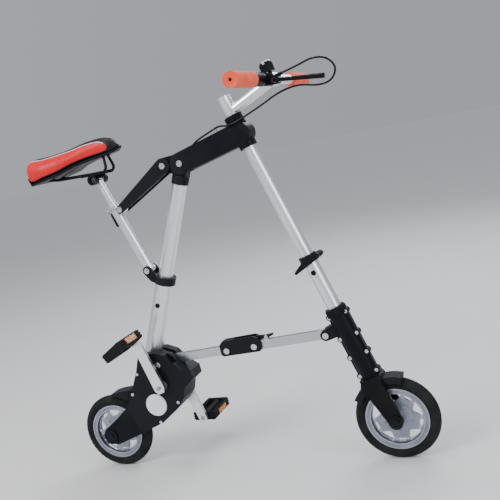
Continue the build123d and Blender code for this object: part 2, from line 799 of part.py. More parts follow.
clamp_station = 178
with BuildPart() as seat_clamp:
    rod(seat_line, seat_tube_radius + 3, clamp_station - 6, clamp_station + 6)
    link([(along(seat_line, clamp_station, 14), 6), (along(seat_line, clamp_station, 22), 6)], -6, 6)
    rod(seat_line, seat_tube_radius, clamp_station - 12, clamp_station + 12, mode=Mode.SUBTRACT)
    link([(strut_foot, 9), (along(seat_line, 166), 9)], -7, 7, mode=Mode.SUBTRACT)
    plate(
        [
            along(seat_line, clamp_station - 8, -30),
            along(seat_line, clamp_station + 8, -30),
            along(seat_line, clamp_station + 8, -seat_tube_radius + 1),
            along(seat_line, clamp_station - 8, -seat_tube_radius + 1),
        ],
        -7.2,
        7.2,
        mode=Mode.SUBTRACT,
    )
    disc(along(seat_line, clamp_station, 21), 2.5, -8, 8)
    disc(along(seat_line, clamp_station, 21), 4, -9, -6.4)
finish(seat_clamp, "seat_clamp")

seat_lever_point = along(seat_line, clamp_station, 21)
with BuildPart() as seat_lever:
    disc(seat_lever_point, 6.5, 8.3, 13)
    link([(seat_lever_point, 5), (along(seat_line, clamp_station - 38, 24), 4)], 9, 13)
    disc(seat_lever_point, 2.5 + slide_gap, 6, 14, mode=Mode.SUBTRACT)
    disc(seat_lever_point, 6.5, 11.5, 13)
finish(seat_lever, "seat_lever")

post_low = 100
post_high = 258
head_point = along(seat_line, seat_rise)

with BuildPart() as seat_post:
    rod(seat_line, seat_post_radius, post_low, post_high)
    rod(seat_line, seat_post_radius - tube_wall, post_low - 1, post_high - 6, mode=Mode.SUBTRACT)
    disc(head_point, 9, -13, 13)
finish(seat_post, "seat_post")

rail_half_gap = 22
rail_height = head_point[1] + 13
nose_x = rear_x + 197
tail_x = rear_x - 58

with BuildPart() as saddle_rails:
    disc(head_point, 13, -29, 29)
    disc(head_point, 9 + turn_gap, -30, 30, mode=Mode.SUBTRACT)
    plate(
        [
            (head_point[0] - 20, head_point[1] - 20),
            (head_point[0] + 20, head_point[1] - 20),
            (head_point[0] + 20, head_point[1] + 2.5),
            (head_point[0] - 20, head_point[1] + 2.5),
        ],
        -13.3,
        13.3,
        mode=Mode.SUBTRACT,
    )
    with Locations((head_point[0], 0, rail_height + 1)):
        Box(60, 56, 8)
    for y in (-rail_half_gap, rail_half_gap):
        rail = [
            (tail_x + 40, y, rail_height + 8),
            (tail_x + 70, y, rail_height + 3),
            (head_point[0] + 45, y, rail_height),
            (nose_x - 46, y * 0.5, rail_height + 42),
        ]
        with BuildLine() as rail_path:
            FilletPolyline(*rail, radius=14)
        path = rail_path.wire()
        with BuildSketch(Plane(origin=path @ 0, z_dir=path % 0)) as rail_section:
            Circle(3.5)
        sweep(rail_section.sketch, path=path)
finish(saddle_rails, "saddle_rails")

saddle_sections = [
    (tail_x, rail_height + 17, 50, 108, 40),
    (tail_x + 11, rail_height + 1, 65, 124, 40),
    (tail_x + 51, rail_height + 7, 59, 134, 40),
    (tail_x + 94, rail_height + 15, 53, 122, 38),
    (tail_x + 133, rail_height + 27, 48, 90, 34),
    (tail_x + 168, rail_height + 34, 50, 66, 30),
    (tail_x + 209, rail_height + 39, 48, 48, 26),
    (nose_x - 12, rail_height + 45, 33, 34, 20),
    (nose_x, rail_height + 52, 12, 18, 10),
]

with BuildPart() as saddle_base:
    for x, low, height, width, crown in saddle_sections:
        with BuildSketch(Plane(origin=(x, 0, low), x_dir=(0, 1, 0), z_dir=(1, 0, 0))):
            with Locations((0, 3)):
                RectangleRounded(width * 0.9, 6, 2.5)
    loft(ruled=True)
finish(saddle_base, "saddle_base")

with BuildPart() as saddle_cover:
    for x, low, height, width, crown in saddle_sections:
        with BuildSketch(Plane(origin=(x, 0, low + 6.2), x_dir=(0, 1, 0), z_dir=(1, 0, 0))):
            with BuildLine():
                base_line = Line((-width / 2, 0), (width / 2, 0))
                ThreePointArc((width / 2, 0), (0, height - 6.2), (-width / 2, 0))
            make_face()
    loft(ruled=True)
finish(saddle_cover, "saddle_cover")

# ---------------------------------------------------------------- crossbar
block_rear = line_point(bar_rear, bar_front, rear_bar_length)
block_front = line_point(bar_rear, bar_front, rear_bar_length + block_pitch)
bar_half = crossbar_height / 2
tongue_gap = 0.5


def bar_with_tongue(start, end, neck, tongue_low, tongue_high):
    """Flat bar from start to end, cut down past its neck to a tongue of part of its width."""
    link([(start, bar_half), (end, bar_half)], -crossbar_half_width, crossbar_half_width)
    length = hypot(end[0] - start[0], end[1] - start[1])
    ux = (end[0] - start[0]) / length
    uz = (end[1] - start[1]) / length
    across = 2 * bar_half
    shoulder = line_point(start, end, length - neck)
    beyond = line_point(start, end, length + across)
    corners = [
        (shoulder[0] - uz * across, shoulder[1] + ux * across),
        (beyond[0] - uz * across, beyond[1] + ux * across),
        (beyond[0] + uz * across, beyond[1] - ux * across),
        (shoulder[0] + uz * across, shoulder[1] - ux * across),
    ]
    if tongue_low > -crossbar_half_width:
        plate(corners, -crossbar_half_width - 1, tongue_low, mode=Mode.SUBTRACT)
    if tongue_high < crossbar_half_width:
        plate(corners, tongue_high, crossbar_half_width + 1, mode=Mode.SUBTRACT)


neck_length = 12.5
ahead = ((block_front[0] - block_rear[0]) / block_pitch, (block_front[1] - block_rear[1]) / block_pitch)


def block_point(distance, lift):
    """Point at a distance ahead of the rear block pivot and a lift above the bar's line."""
    return (
        block_rear[0] + ahead[0] * distance - ahead[1] * lift,
        block_rear[1] + ahead[1] * distance + ahead[0] * lift,
    )


latch_place = block_pitch + 34
latch_pivot = block_point(latch_place, bar_half + 6.5)

with BuildPart() as rear_crossbar:
    bar_with_tongue(bar_rear, block_rear, neck_length, -crossbar_half_width, -tongue_gap)
    disc(bar_rear, pivot_bolt_radius + slide_gap, -30, 30, mode=Mode.SUBTRACT)
    disc(block_rear, pivot_bolt_radius + slide_gap, -30, 30, mode=Mode.SUBTRACT)
finish(rear_crossbar, "rear_crossbar")

with BuildPart() as front_crossbar:
    bar_with_tongue(bar_front, block_front, neck_length, tongue_gap, crossbar_half_width)
    for y_low, y_high in ((-6.6, -4.2), (4.2, 6.6)):
        link([(latch_pivot, 4.5), (block_point(latch_place, bar_half - 2), 4.5)], y_low, y_high)
    disc(latch_pivot, 1.9, -6.6, 6.6)
    disc(bar_front, pivot_bolt_radius + slide_gap, -30, 30, mode=Mode.SUBTRACT)
    disc(block_front, pivot_bolt_radius + slide_gap, -30, 30, mode=Mode.SUBTRACT)
finish(front_crossbar, "front_crossbar")

cheek_in = crossbar_half_width + 1.5
cheek_out = 13
with BuildPart() as centre_block:
    for y_low, y_high in ((-cheek_out, -cheek_in), (cheek_in, cheek_out)):
        plate(
            [
                block_point(-17, -13),
                block_point(block_pitch + 16, -14),
                block_point(block_pitch + 19, 2),
                block_point(block_pitch + 14, 20),
                block_point(block_pitch + 2, 26),
                block_point(-8, 25),
                block_point(-17, 16),
            ],
            y_low,
            y_high,
            corner=8,
        )
    plate(
        [block_point(-11, 18), block_point(22, 18), block_point(22, 25), block_point(-8, 25)],
        -cheek_in,
        cheek_in,
    )
    for point in (block_rear, block_front):
        disc(point, pivot_bolt_radius, -30, 30, mode=Mode.SUBTRACT)
finish(centre_block, "centre_block")

with BuildPart() as block_bolts:
    disc(block_rear, pivot_bolt_radius, -cheek_out, -0.2)
    disc(block_rear, pivot_bolt_radius, cheek_in, cheek_out)
    for low in (-cheek_out, cheek_in):
        disc(block_front, pivot_bolt_radius, low, low + cheek_out - cheek_in)
    for point in (block_rear, block_front):
        disc(point, bolt_head_radius, -cheek_out - 3, -cheek_out)
        disc(point, bolt_head_radius, cheek_out, cheek_out + 3)
        disc(point, 3, -cheek_out - 3, -cheek_out - 1, mode=Mode.SUBTRACT)
        disc(point, 3, cheek_out + 1, cheek_out + 3, mode=Mode.SUBTRACT)
finish(block_bolts, "block_bolts")

with BuildPart() as crossbar_latch:
    link([(latch_pivot, 3.8), (block_point(block_pitch + 8, bar_half + 8.5), 4)], -3.9, 3.9)
    link([(latch_pivot, 3.8), (block_point(latch_place + 16, bar_half + 10), 2.5)], -3.9, 3.9)
    disc(latch_pivot, 1.9 + slide_gap, -10, 10, mode=Mode.SUBTRACT)
finish(crossbar_latch, "crossbar_latch")

# ---------------------------------------------------------------- front housing
housing_bolt_stations = (126, 175, 224.5, 281)
housing_bore = front_lower_radius + slide_gap
bolt_offset = front_lower_radius + 4.5
ear_out = 17.5
ear_in = crossbar_half_width + 0.6


def housing_half(sign):
    """One half of the clamshell about the front lower tube, with its flange, bosses and ear cheek."""
    low, high = sorted((0, sign * 30))
    rod(front_leg, front_lower_radius + 5, housing_low, housing_high - 20)
    rod(front_leg, front_lower_radius + 6.5, housing_high - 22, housing_high)
    for station in housing_bolt_stations:
        for offset in (-bolt_offset, bolt_offset):
            disc(along(front_leg, station, offset), 7.8, -8, 8)
    link(
        [(along(front_leg, 136, -19), 6), (along(front_leg, 276, -19), 6),
         (along(front_leg, 136, 19), 6), (along(front_leg, 276, 19), 6)],
        -7,
        7,
    )
    link([(bar_front, 13), (along(front_leg, 250, 14), 16)], -ear_out, ear_out)
    link([(bar_front, 13.5), (line_point(bar_front, bar_rear, 60), 13.5)], -ear_in, ear_in, mode=Mode.SUBTRACT)
    disc(bar_front, 13.5, -ear_in, ear_in, mode=Mode.SUBTRACT)
    link(
        [(bar_front, 13.5), (line_point(bar_front, along(front_leg, 400, 47), 80), 13.5)],
        -ear_in,
        ear_in,
        mode=Mode.SUBTRACT,
    )
    rod(front_leg, housing_bore, housing_low - 5, housing_high + 5, mode=Mode.SUBTRACT)
    disc(bar_front, pivot_bolt_radius, -30, 30, mode=Mode.SUBTRACT)
    for station in housing_bolt_stations:
        for offset in (-bolt_offset, bolt_offset):
            disc(along(front_leg, station, offset), 2.5, -10, 10, mode=Mode.SUBTRACT)
            disc(along(front_leg, station, offset), 5, 8, 31, mode=Mode.SUBTRACT)
            disc(along(front_leg, station, offset), 5, -31, -8, mode=Mode.SUBTRACT)
    cut_low, cut_high = sorted((0, -sign * 60))
    disc(along(front_leg, 210), 300, cut_low, cut_high, mode=Mode.SUBTRACT)


with BuildPart() as housing_right:
    housing_half(-1)
finish(housing_right, "housing_right")

with BuildPart() as housing_left:
    housing_half(1)
finish(housing_left, "housing_left")

with BuildPart() as housing_bolts:
    for station in housing_bolt_stations:
        for offset in (-bolt_offset, bolt_offset):
            place = along(front_leg, station, offset)
            disc(place, 2.5, -8, 8)
            disc(place, 4.5, -11, -8)
            disc(place, 4.5, 8, 11)
            disc(place, 1.8, -11, -9.4, mode=Mode.SUBTRACT)
    bolt(bar_front, ear_out)
finish(housing_bolts, "housing_bolts")

# ---------------------------------------------------------------- fork and front lower tube
front_button_point = along(front_leg, 394)

with BuildPart() as front_lower_tube:
    rod(front_leg, front_lower_radius, crown_low + 2, front_collar_low + 8)
    rod(front_leg, front_upper_radius + slide_gap, crown_low + 6, front_collar_low + 9, mode=Mode.SUBTRACT)
    disc(front_button_point, 6.3, -30, 0, mode=Mode.SUBTRACT)
finish(front_lower_tube, "front_lower_tube")

with BuildPart() as front_button:
    disc(front_button_point, 6, -front_lower_radius - 2.5, -front_lower_radius + 0.3)
    chamfer(front_button.faces().sort_by(Axis.Y)[0].edges(), 1)
finish(front_button, "front_button")

with BuildPart() as fork:
    with BuildSketch(front_leg.offset(crown_low)) as crown:
        RectangleRounded(2 * blade_out, 52, 12)
    extrude(crown.sketch, amount=crown_high - crown_low)
    for y_low, y_high in ((-blade_out, -arm_inner), (arm_inner, blade_out)):
        link(
            [(along(front_leg, crown_high - 13, -13), 13), (along(front_leg, crown_high - 13, 13), 13),
             (front_axle_point, 17)],
            y_low,
            y_high,
        )
    disc(front_axle_point, 17, -blade_out - 4, -blade_out)
    disc(front_axle_point, 17, blade_out, blade_out + 4)
    rod(front_leg, front_lower_radius, crown_low + 2, crown_high + 1, mode=Mode.SUBTRACT)
    disc(front_axle_point, axle_radius, -40, 40, mode=Mode.SUBTRACT)
finish(fork, "fork")

guard_outer = 106.5
guard_inner = 104
with BuildPart() as front_mudguard:
    disc(front_axle_point, guard_outer, -20.5, 20.5)
    disc(front_axle_point, guard_inner, -18.3, 18.3, mode=Mode.SUBTRACT)
    disc(front_axle_point, 90, -21, 21, mode=Mode.SUBTRACT)
    plate(
        [
            front_axle_point,
            (front_x + 41, tyre_radius + 150),
            (front_x + 200, tyre_radius + 150),
            (front_x + 200, tyre_radius - 200),
            (front_x - 200, tyre_radius - 200),
            (front_x - 200, tyre_radius + 120),
        ],
        -30,
        30,
        mode=Mode.SUBTRACT,
    )
    with BuildSketch(front_leg.offset(crown_low)) as crown_cut:
        Rectangle(80, 52)
    extrude(crown_cut.sketch, amount=30, mode=Mode.SUBTRACT)
finish(front_mudguard, "front_mudguard")

front_collar_mid = front_collar_low + front_collar_height / 2
with BuildPart() as front_collar:
    rod(front_leg, front_lower_radius + 4.5, front_collar_low, front_collar_low + front_collar_height)
    link(
        [(along(front_leg, front_collar_mid, -24), 7), (along(front_leg, front_collar_mid, -30), 7)],
        -9,
        9,
    )
    rod(front_leg, front_lower_radius, front_collar_low - 1, front_collar_low + 8, mode=Mode.SUBTRACT)
    rod(front_leg, front_upper_radius + turn_gap, front_collar_low - 1, 460, mode=Mode.SUBTRACT)
    disc(along(front_leg, front_collar_mid, -29), 3, -12, 9)
    disc(along(front_leg, front_collar_mid, -29), 5.5, 9, 12)
    disc(along(front_leg, front_collar_mid, -29), 3, -22, -9)
finish(front_collar, "front_collar")

lever_pivot = along(front_leg, front_collar_mid, -29)
with BuildPart() as front_lever:
    link(
        [
            (lever_pivot, 7),
            (along(front_leg, front_collar_mid - 2, -2), 8),
            (along(front_leg, front_collar_mid - 16, 34), 3.5),
        ],
        -30,
        -23.5,
    )
    disc(lever_pivot, 6.5, -23.5, -9.5)
    disc(lever_pivot, 3 + slide_gap, -22.5, -5, mode=Mode.SUBTRACT)
finish(front_lever, "front_lever")

with BuildPart() as front_axle:
    disc(front_axle_point, axle_radius, -blade_out - 4, blade_out + 4)
    disc(front_axle_point, 9, -blade_out - 8, -blade_out - 4)
    disc(front_axle_point, 9, blade_out + 4, blade_out + 8)
    for low in (-hub_half_width + 1, hub_half_width - 7):
        disc(front_axle_point, 12, low, low + 6)
finish(front_axle, "front_axle")

# ---------------------------------------------------------------- steering column
with BuildPart() as front_upper_tube:
    rod(front_leg, front_upper_radius, front_upper_end, stem_high)
    rod(front_leg, front_upper_radius - tube_wall, front_upper_end, stem_high, mode=Mode.SUBTRACT)
    rod(front_leg, quill_radius, stem_high - quill_depth, stem_high, mode=Mode.SUBTRACT)
finish(front_upper_tube, "front_upper_tube")

elbow = along(front_leg, 813)
extension_length = hypot(handlebar_point[0] - elbow[0], handlebar_point[1] - elbow[1])
extension = Plane(
    origin=(elbow[0], 0, elbow[1]),
    x_dir=(0, 1, 0),
    z_dir=((handlebar_point[0] - elbow[0]), 0, (handlebar_point[1] - elbow[1])),
)
with BuildPart() as stem:
    rod(extension, 13, 0, extension_length)
    rod(front_leg, front_upper_radius + 2.3, stem_low, stem_high)
    disc(handlebar_point, 16, -21, 21)
    disc(handlebar_point, handlebar_radius, -30, 30, mode=Mode.SUBTRACT)
    rod(front_leg, front_upper_radius, head_high - 30, stem_high + 5, mode=Mode.SUBTRACT)
    with BuildSketch(front_leg.offset(head_high - 40)) as under:
        Rectangle(80, 120)
    extrude(under.sketch, amount=stem_low - head_high + 40, mode=Mode.SUBTRACT)
finish(stem, "stem")

with BuildPart() as handlebar:
    disc(handlebar_point, handlebar_radius, -bar_half_width + 4, bar_half_width - 4)
    disc(handlebar_point, handlebar_radius - 2, -bar_half_width + 4, bar_half_width - 4, mode=Mode.SUBTRACT)
finish(handlebar, "handlebar")

with BuildPart() as grips:
    for sign in (-1, 1):
        low, high = sorted((sign * grip_inner, sign * bar_half_width))
        disc(handlebar_point, grip_radius, low, high)
        low, high = sorted((sign * grip_inner, sign * (bar_half_width - 4)))
        disc(handlebar_point, handlebar_radius, low, high, mode=Mode.SUBTRACT)
        low, high = sorted((sign * (bar_half_width - 5), sign * (bar_half_width + 1)))
        disc(handlebar_point, 3.5, low, high, mode=Mode.SUBTRACT)
finish(grips, "grips")

lever_axis_point = (handlebar_point[0] + 32, handlebar_point[1] - 7)
with BuildPart() as brake_bracket:
    link([(handlebar_point, 15), (lever_axis_point, 9)], brake_y - 11, brake_y + 9)
    disc(handlebar_point, 15.5, -grip_inner + 1, brake_y - 10)
    for rib in range(6):
        rib_y = -grip_inner + 8 + 6.5 * rib
        disc(handlebar_point, 17, rib_y, rib_y + 2.5, mode=Mode.SUBTRACT)
        disc(handlebar_point, 14.5, rib_y - 1, rib_y + 3.5)
    disc(handlebar_point, handlebar_radius, -200, 200, mode=Mode.SUBTRACT)
    with Locations((lever_axis_point[0] + 4, brake_y - 1, lever_axis_point[1])):
        Box(30, 30, 11.5, mode=Mode.SUBTRACT)
    with Locations((lever_axis_point[0] - 1, brake_y - 1, lever_axis_point[1])):
        Cylinder(3, 16)
    with Locations(Location((lever_axis_point[0] + 6, brake_y - 1, lever_axis_point[1] + 10), (0, 80, 0))):
        Cylinder(4, 16)
finish(brake_bracket, "brake_bracket")

lever_tip = (lever_axis_point[0] + 108, brake_y - 22, lever_axis_point[1] - 14)
with BuildPart() as brake_lever:
    with Locations((lever_axis_point[0] - 1, brake_y - 1, lever_axis_point[1])):
        Cylinder(7.5, 8)
    blade = Plane(
        origin=(lever_axis_point[0] - 1, brake_y - 1, lever_axis_point[1]),
        z_dir=(lever_tip[0] - lever_axis_point[0], lever_tip[1] - brake_y, lever_tip[2] - lever_axis_point[1]),
        x_dir=(0.2, 1, 0),
    )
    with BuildSketch(blade):
        RectangleRounded(9, 8, 2)
    with BuildSketch(blade.offset(112)):
        RectangleRounded(11, 11, 3)
    loft()
    with Locations((lever_axis_point[0] - 1, brake_y - 1, lever_axis_point[1])):
        Cylinder(3 + slide_gap, 30, mode=Mode.SUBTRACT)
finish(brake_lever, "brake_lever")

bell_place = (handlebar_point[0] + 8, brake_y + 26)
with BuildPart() as bell:
    disc(handlebar_point, 14.5, bell_place[1] - 6, bell_place[1] + 6)
    bell_plane = Plane(
        origin=(bell_place[0], bell_place[1], handlebar_point[1] + 12),
        x_dir=(1, 0, 0.22),
        z_dir=(-0.22, 0, 1),
    )
    rod(bell_plane, 15.5, 2, 20)
    rod(bell_plane, 14, 20, 26)
    rod(bell_plane, 7, -2, 4)
    with BuildSketch(bell_plane.offset(2)) as ribs:
        with PolarLocations(15.9, 20):
            Circle(1)
    extrude(ribs.sketch, amount=18, mode=Mode.SUBTRACT)
    fillet(bell.faces().sort_by(Axis.Z)[-1].edges(), 4)
    disc(handlebar_point, handlebar_radius, -100, 100, mode=Mode.SUBTRACT)
finish(bell, "bell")

# ---------------------------------------------------------------- brake cable
def corner_radii(points):
    """Arc radius at each inner point: 0.45 of the shorter run over the tangent of half the turn."""
    radii = []
    for before, here, after in zip(points, points[1:], points[2:]):
        first = Vector(here) - Vector(before)
        second = Vector(after) - Vector(here)
        turn = radians(first.get_angle(second))
        radii.append(0.45 * min(first.length, second.length) / tan(turn / 2))
    return radii


def cable(points):
    """Round tube along straight runs joined by tangent arcs; prints its radii and its volume check."""
    radii = corner_radii(points)
    with BuildLine() as route:
        FilletPolyline(*points, radius=radii)
    path = route.wire()
    with BuildSketch(Plane(origin=path @ 0, z_dir=path % 0)) as section:
        Circle(cable_diameter / 2)
    sweep(section.sketch, path=path)
    length = path.length
    print("cable radii", [round(value, 1) for value in radii])
    print("cable length", round(length, 1), "expected volume", round(length * pi * cable_diameter**2 / 4, 1))


with BuildPart() as brake_cable_upper:
    cable(cable_upper_points)
print("cable volume", round(brake_cable_upper.part.volume, 1))
finish(brake_cable_upper, "brake_cable_upper")

with BuildPart() as brake_cable_lower:
    cable(cable_lower_points)
print("cable volume", round(brake_cable_lower.part.volume, 1))
finish(brake_cable_lower, "brake_cable_lower")
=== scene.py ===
"""Looks of the small-wheeled folding bicycle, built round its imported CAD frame.

The frame is the row's own: +X forward, +Y to the rider's left, +Z up, in metres.
"""
from math import asin, atan2, cos, exp, pi, radians, sin, sqrt

import bmesh
import bpy
from mathutils import Matrix, Vector
from mathutils.bvhtree import BVHTree


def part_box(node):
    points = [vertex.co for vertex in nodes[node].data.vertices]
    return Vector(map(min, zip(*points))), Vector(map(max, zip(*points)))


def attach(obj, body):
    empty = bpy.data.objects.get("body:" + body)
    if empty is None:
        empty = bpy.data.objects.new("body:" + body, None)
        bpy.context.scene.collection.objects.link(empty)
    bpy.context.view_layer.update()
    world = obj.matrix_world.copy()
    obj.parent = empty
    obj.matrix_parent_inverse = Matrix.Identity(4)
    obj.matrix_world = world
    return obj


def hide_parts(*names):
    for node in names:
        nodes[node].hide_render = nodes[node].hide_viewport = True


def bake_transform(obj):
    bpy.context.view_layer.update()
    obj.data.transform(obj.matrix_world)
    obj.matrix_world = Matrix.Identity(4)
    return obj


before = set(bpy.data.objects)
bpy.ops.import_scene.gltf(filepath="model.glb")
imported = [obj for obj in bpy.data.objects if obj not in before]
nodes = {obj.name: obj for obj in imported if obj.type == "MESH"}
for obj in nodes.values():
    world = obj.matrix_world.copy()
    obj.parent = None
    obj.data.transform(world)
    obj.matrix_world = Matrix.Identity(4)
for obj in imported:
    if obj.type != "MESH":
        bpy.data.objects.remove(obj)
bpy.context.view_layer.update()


def centre_of(node):
    low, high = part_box(node)
    return (Vector(low) + Vector(high)) / 2


# ---------------------------------------------------------------- camera
camera_forward = Vector((-0.3704, 0.9162, -0.1531)).normalized()
camera_right = camera_forward.cross(Vector((0.1293, 0.2141, 0.9682))).normalized()
camera_up = camera_right.cross(camera_forward)
camera_place = Vector((0.7491, -1.6055, 0.8109))
camera_data = bpy.data.cameras.new("camera")
camera_data.lens = 52.6
camera_data.sensor_width = 36
camera = bpy.data.objects.new("camera", camera_data)
bpy.context.collection.objects.link(camera)
turned = Matrix((camera_right, camera_up, -camera_forward)).transposed()
camera.matrix_world = Matrix.Translation(camera_place) @ turned.to_4x4()
bpy.context.scene.camera = camera


# ---------------------------------------------------------------- materials
def principled(name, colour, metallic, roughness, coat=0.0, sheen=0.0, specular=0.5):
    """Principled material with its colour and numbers on the shader's sockets."""
    material = bpy.data.materials.new(name)
    material.use_nodes = True
    shader = material.node_tree.nodes["Principled BSDF"]
    shader.inputs["Base Color"].default_value = (*colour, 1)
    shader.inputs["Metallic"].default_value = metallic
    shader.inputs["Roughness"].default_value = roughness
    shader.inputs["Coat Weight"].default_value = coat
    shader.inputs["Coat Roughness"].default_value = 0.25
    shader.inputs["Sheen Weight"].default_value = sheen
    shader.inputs["Specular IOR Level"].default_value = specular
    material.diffuse_color = (*colour, 1)
    return material


def node(material, kind, **values):
    """New node with its input sockets set by name."""
    made = material.node_tree.nodes.new(kind)
    for name, value in values.items():
        made.inputs[name].default_value = value
    return made


def join(material, source, output, target, socket):
    material.node_tree.links.new(source.outputs[output], target.inputs[socket])


def noise_of(material, scale, stretch=(1, 1, 1), octaves=3.0):
    """Noise in the row frame, stretched by its mapping."""
    place = material.node_tree.nodes.new("ShaderNodeTexCoord")
    mapping = node(material, "ShaderNodeMapping", Scale=stretch)
    noise = node(material, "ShaderNodeTexNoise", Scale=scale, Detail=octaves, Roughness=0.55)
    join(material, place, "Object", mapping, "Vector")
    join(material, mapping, "Vector", noise, "Vector")
    return noise


def grain(material, scale, depth, edge=0.0005, stretch=(1, 1, 1), source=None, strength=0.6):
    """Fine surface grain over softly rounded edges."""
    shader = material.node_tree.nodes["Principled BSDF"]
    texture = source or noise_of(material, scale, stretch)
    bump = node(material, "ShaderNodeBump", Strength=strength, Distance=depth)
    output = "Fac" if "Fac" in texture.outputs else 0
    join(material, texture, output, bump, "Height")
    if edge:
        bevel = node(material, "ShaderNodeBevel", Radius=edge)
        bevel.samples = 4
        join(material, bevel, "Normal", bump, "Normal")
    join(material, bump, "Normal", shader, "Normal")


def smudges(material, scale, low, high, stretch=(1, 1, 1)):
    """Roughness that wanders between two values, as handling leaves it."""
    shader = material.node_tree.nodes["Principled BSDF"]
    noise = noise_of(material, scale, stretch, 4.0)
    span = node(material, "ShaderNodeMapRange")
    span.inputs["From Min"].default_value = 0.3
    span.inputs["From Max"].default_value = 0.7
    span.inputs["To Min"].default_value = low
    span.inputs["To Max"].default_value = high
    join(material, noise, "Fac", span, "Value")
    join(material, span, "Result", shader, "Roughness")


def tint(material, scale, dark, light, worn=None):
    """Colour that drifts from dark to light in patches, and lightens along worn edges."""
    shader = material.node_tree.nodes["Principled BSDF"]
    noise = noise_of(material, scale, octaves=5.0)
    ramp = material.node_tree.nodes.new("ShaderNodeValToRGB")
    ramp.color_ramp.elements[0].position = 0.32
    ramp.color_ramp.elements[1].position = 0.68
    ramp.color_ramp.elements[0].color = (*dark, 1)
    ramp.color_ramp.elements[1].color = (*light, 1)
    join(material, noise, "Fac", ramp, "Fac")
    if worn is None:
        join(material, ramp, "Color", shader, "Base Color")
        return
    geometry = material.node_tree.nodes.new("ShaderNodeNewGeometry")
    edge = node(material, "ShaderNodeMapRange")
    edge.inputs["From Min"].default_value = 0.56
    edge.inputs["From Max"].default_value = 0.66
    mix = material.node_tree.nodes.new("ShaderNodeMix")
    mix.data_type = "RGBA"
    mix.inputs[7].default_value = (*worn, 1)
    join(material, geometry, "Pointiness", edge, "Value")
    material.node_tree.links.new(edge.outputs["Result"], mix.inputs[0])
    material.node_tree.links.new(ramp.outputs["Color"], mix.inputs[6])
    material.node_tree.links.new(mix.outputs[2], shader.inputs["Base Color"])


def drawn_metal(name, colour, low, high, along):
    """Satin anodised tube with the faint lines of drawing along it."""
    material = principled(name, colour, 1.0, (low + high) / 2)
    smudges(material, 9.0, low, high)
    place = material.node_tree.nodes.new("ShaderNodeTexCoord")
    mapping = node(material, "ShaderNodeMapping", Scale=(1, 1, 0.02))
    mapping.inputs["Rotation"].default_value = (0, -atan2(along[0], along[2]), 0)
    lines = node(material, "ShaderNodeTexNoise", Scale=2600.0, Detail=2.0, Roughness=0.5)
    join(material, place, "Object", mapping, "Vector")
    join(material, mapping, "Vector", lines, "Vector")
    grain(material, 0, 0.00004, source=lines, strength=0.35)
    return material


rear_leg_way = (0.3891, 0, 0.9212)
front_leg_way = (-0.3090, 0, 0.9511)
rear_tube_metal = drawn_metal("rear_tube_metal", (0.80, 0.82, 0.85), 0.26, 0.40, rear_leg_way)
front_tube_metal = drawn_metal("front_tube_metal", (0.80, 0.82, 0.85), 0.26, 0.40, front_leg_way)
seat_tube_metal = drawn_metal("seat_tube_metal", (0.78, 0.80, 0.83), 0.26, 0.38, (-0.3437, 0, 0.9391))
bar_metal = drawn_metal("bar_metal", (0.84, 0.86, 0.88), 0.24, 0.36, (0.998, 0, 0.067))
crossbar_metal = drawn_metal("crossbar_metal", (0.50, 0.52, 0.56), 0.24, 0.36, (0.998, 0, 0.067))
crank_metal = principled("crank_metal", (0.82, 0.84, 0.87), 1.0, 0.28)
smudges(crank_metal, 25.0, 0.20, 0.38)
grain(crank_metal, 900.0, 0.00003, edge=0.0012)

bolt_metal = principled("bolt_metal", (0.62, 0.63, 0.65), 1.0, 0.24)
smudges(bolt_metal, 60.0, 0.16, 0.36)
grain(bolt_metal, 1400.0, 0.00003, edge=0.0005)

steel_metal = principled("steel_metal", (0.34, 0.35, 0.37), 1.0, 0.34)
smudges(steel_metal, 40.0, 0.26, 0.45)
grain(steel_metal, 700.0, 0.00005, edge=0.0004)

wheel_lacquer = principled("wheel_lacquer", (0.25, 0.27, 0.33), 0.75, 0.36, coat=0.25)
smudges(wheel_lacquer, 45.0, 0.30, 0.46)
tint(wheel_lacquer, 30.0, (0.22, 0.24, 0.30), (0.30, 0.32, 0.38), worn=(0.5, 0.52, 0.56))
grain(wheel_lacquer, 650.0, 0.00010, edge=0.0007)


def moulded(name, dark, light, low, high, scale=1100.0, depth=0.00006):
    """Moulded black plastic: fine spark-eroded texture, drifting gloss, paler worn edges."""
    material = principled(name, dark, 0.0, (low + high) / 2, specular=0.10)
    smudges(material, 14.0, low, high)
    tint(material, 22.0, dark, light, worn=(0.012, 0.013, 0.017))
    grain(material, scale, depth, edge=0.0009)
    return material


black_moulding = moulded(
    "black_moulding", (0.0035, 0.0038, 0.0065), (0.0055, 0.0060, 0.0095),
    0.32, 0.48,
)
black_lacquer = moulded(
    "black_lacquer", (0.0040, 0.0040, 0.0055), (0.0065, 0.0065, 0.0080),
    0.26, 0.40, 500.0, 0.00003,
)
black_coarse = moulded(
    "black_coarse", (0.0050, 0.0050, 0.0060), (0.0090, 0.0090, 0.0100),
    0.45, 0.62, 700.0, 0.00014,
)

disc_plastic = principled("disc_plastic", (0.74, 0.77, 0.82), 0.35, 0.3, coat=0.4)
smudges(disc_plastic, 30.0, 0.24, 0.38)
grain(disc_plastic, 800.0, 0.00003, edge=0.0008)

tyre_rubber = principled("tyre_rubber", (0.007, 0.007, 0.008), 0.0, 0.72, sheen=0.02, specular=0.12)
smudges(tyre_rubber, 50.0, 0.62, 0.85)
tint(tyre_rubber, 35.0, (0.006, 0.006, 0.007), (0.016, 0.016, 0.016), worn=(0.030, 0.030, 0.030))
grain(tyre_rubber, 1500.0, 0.00012, edge=0)

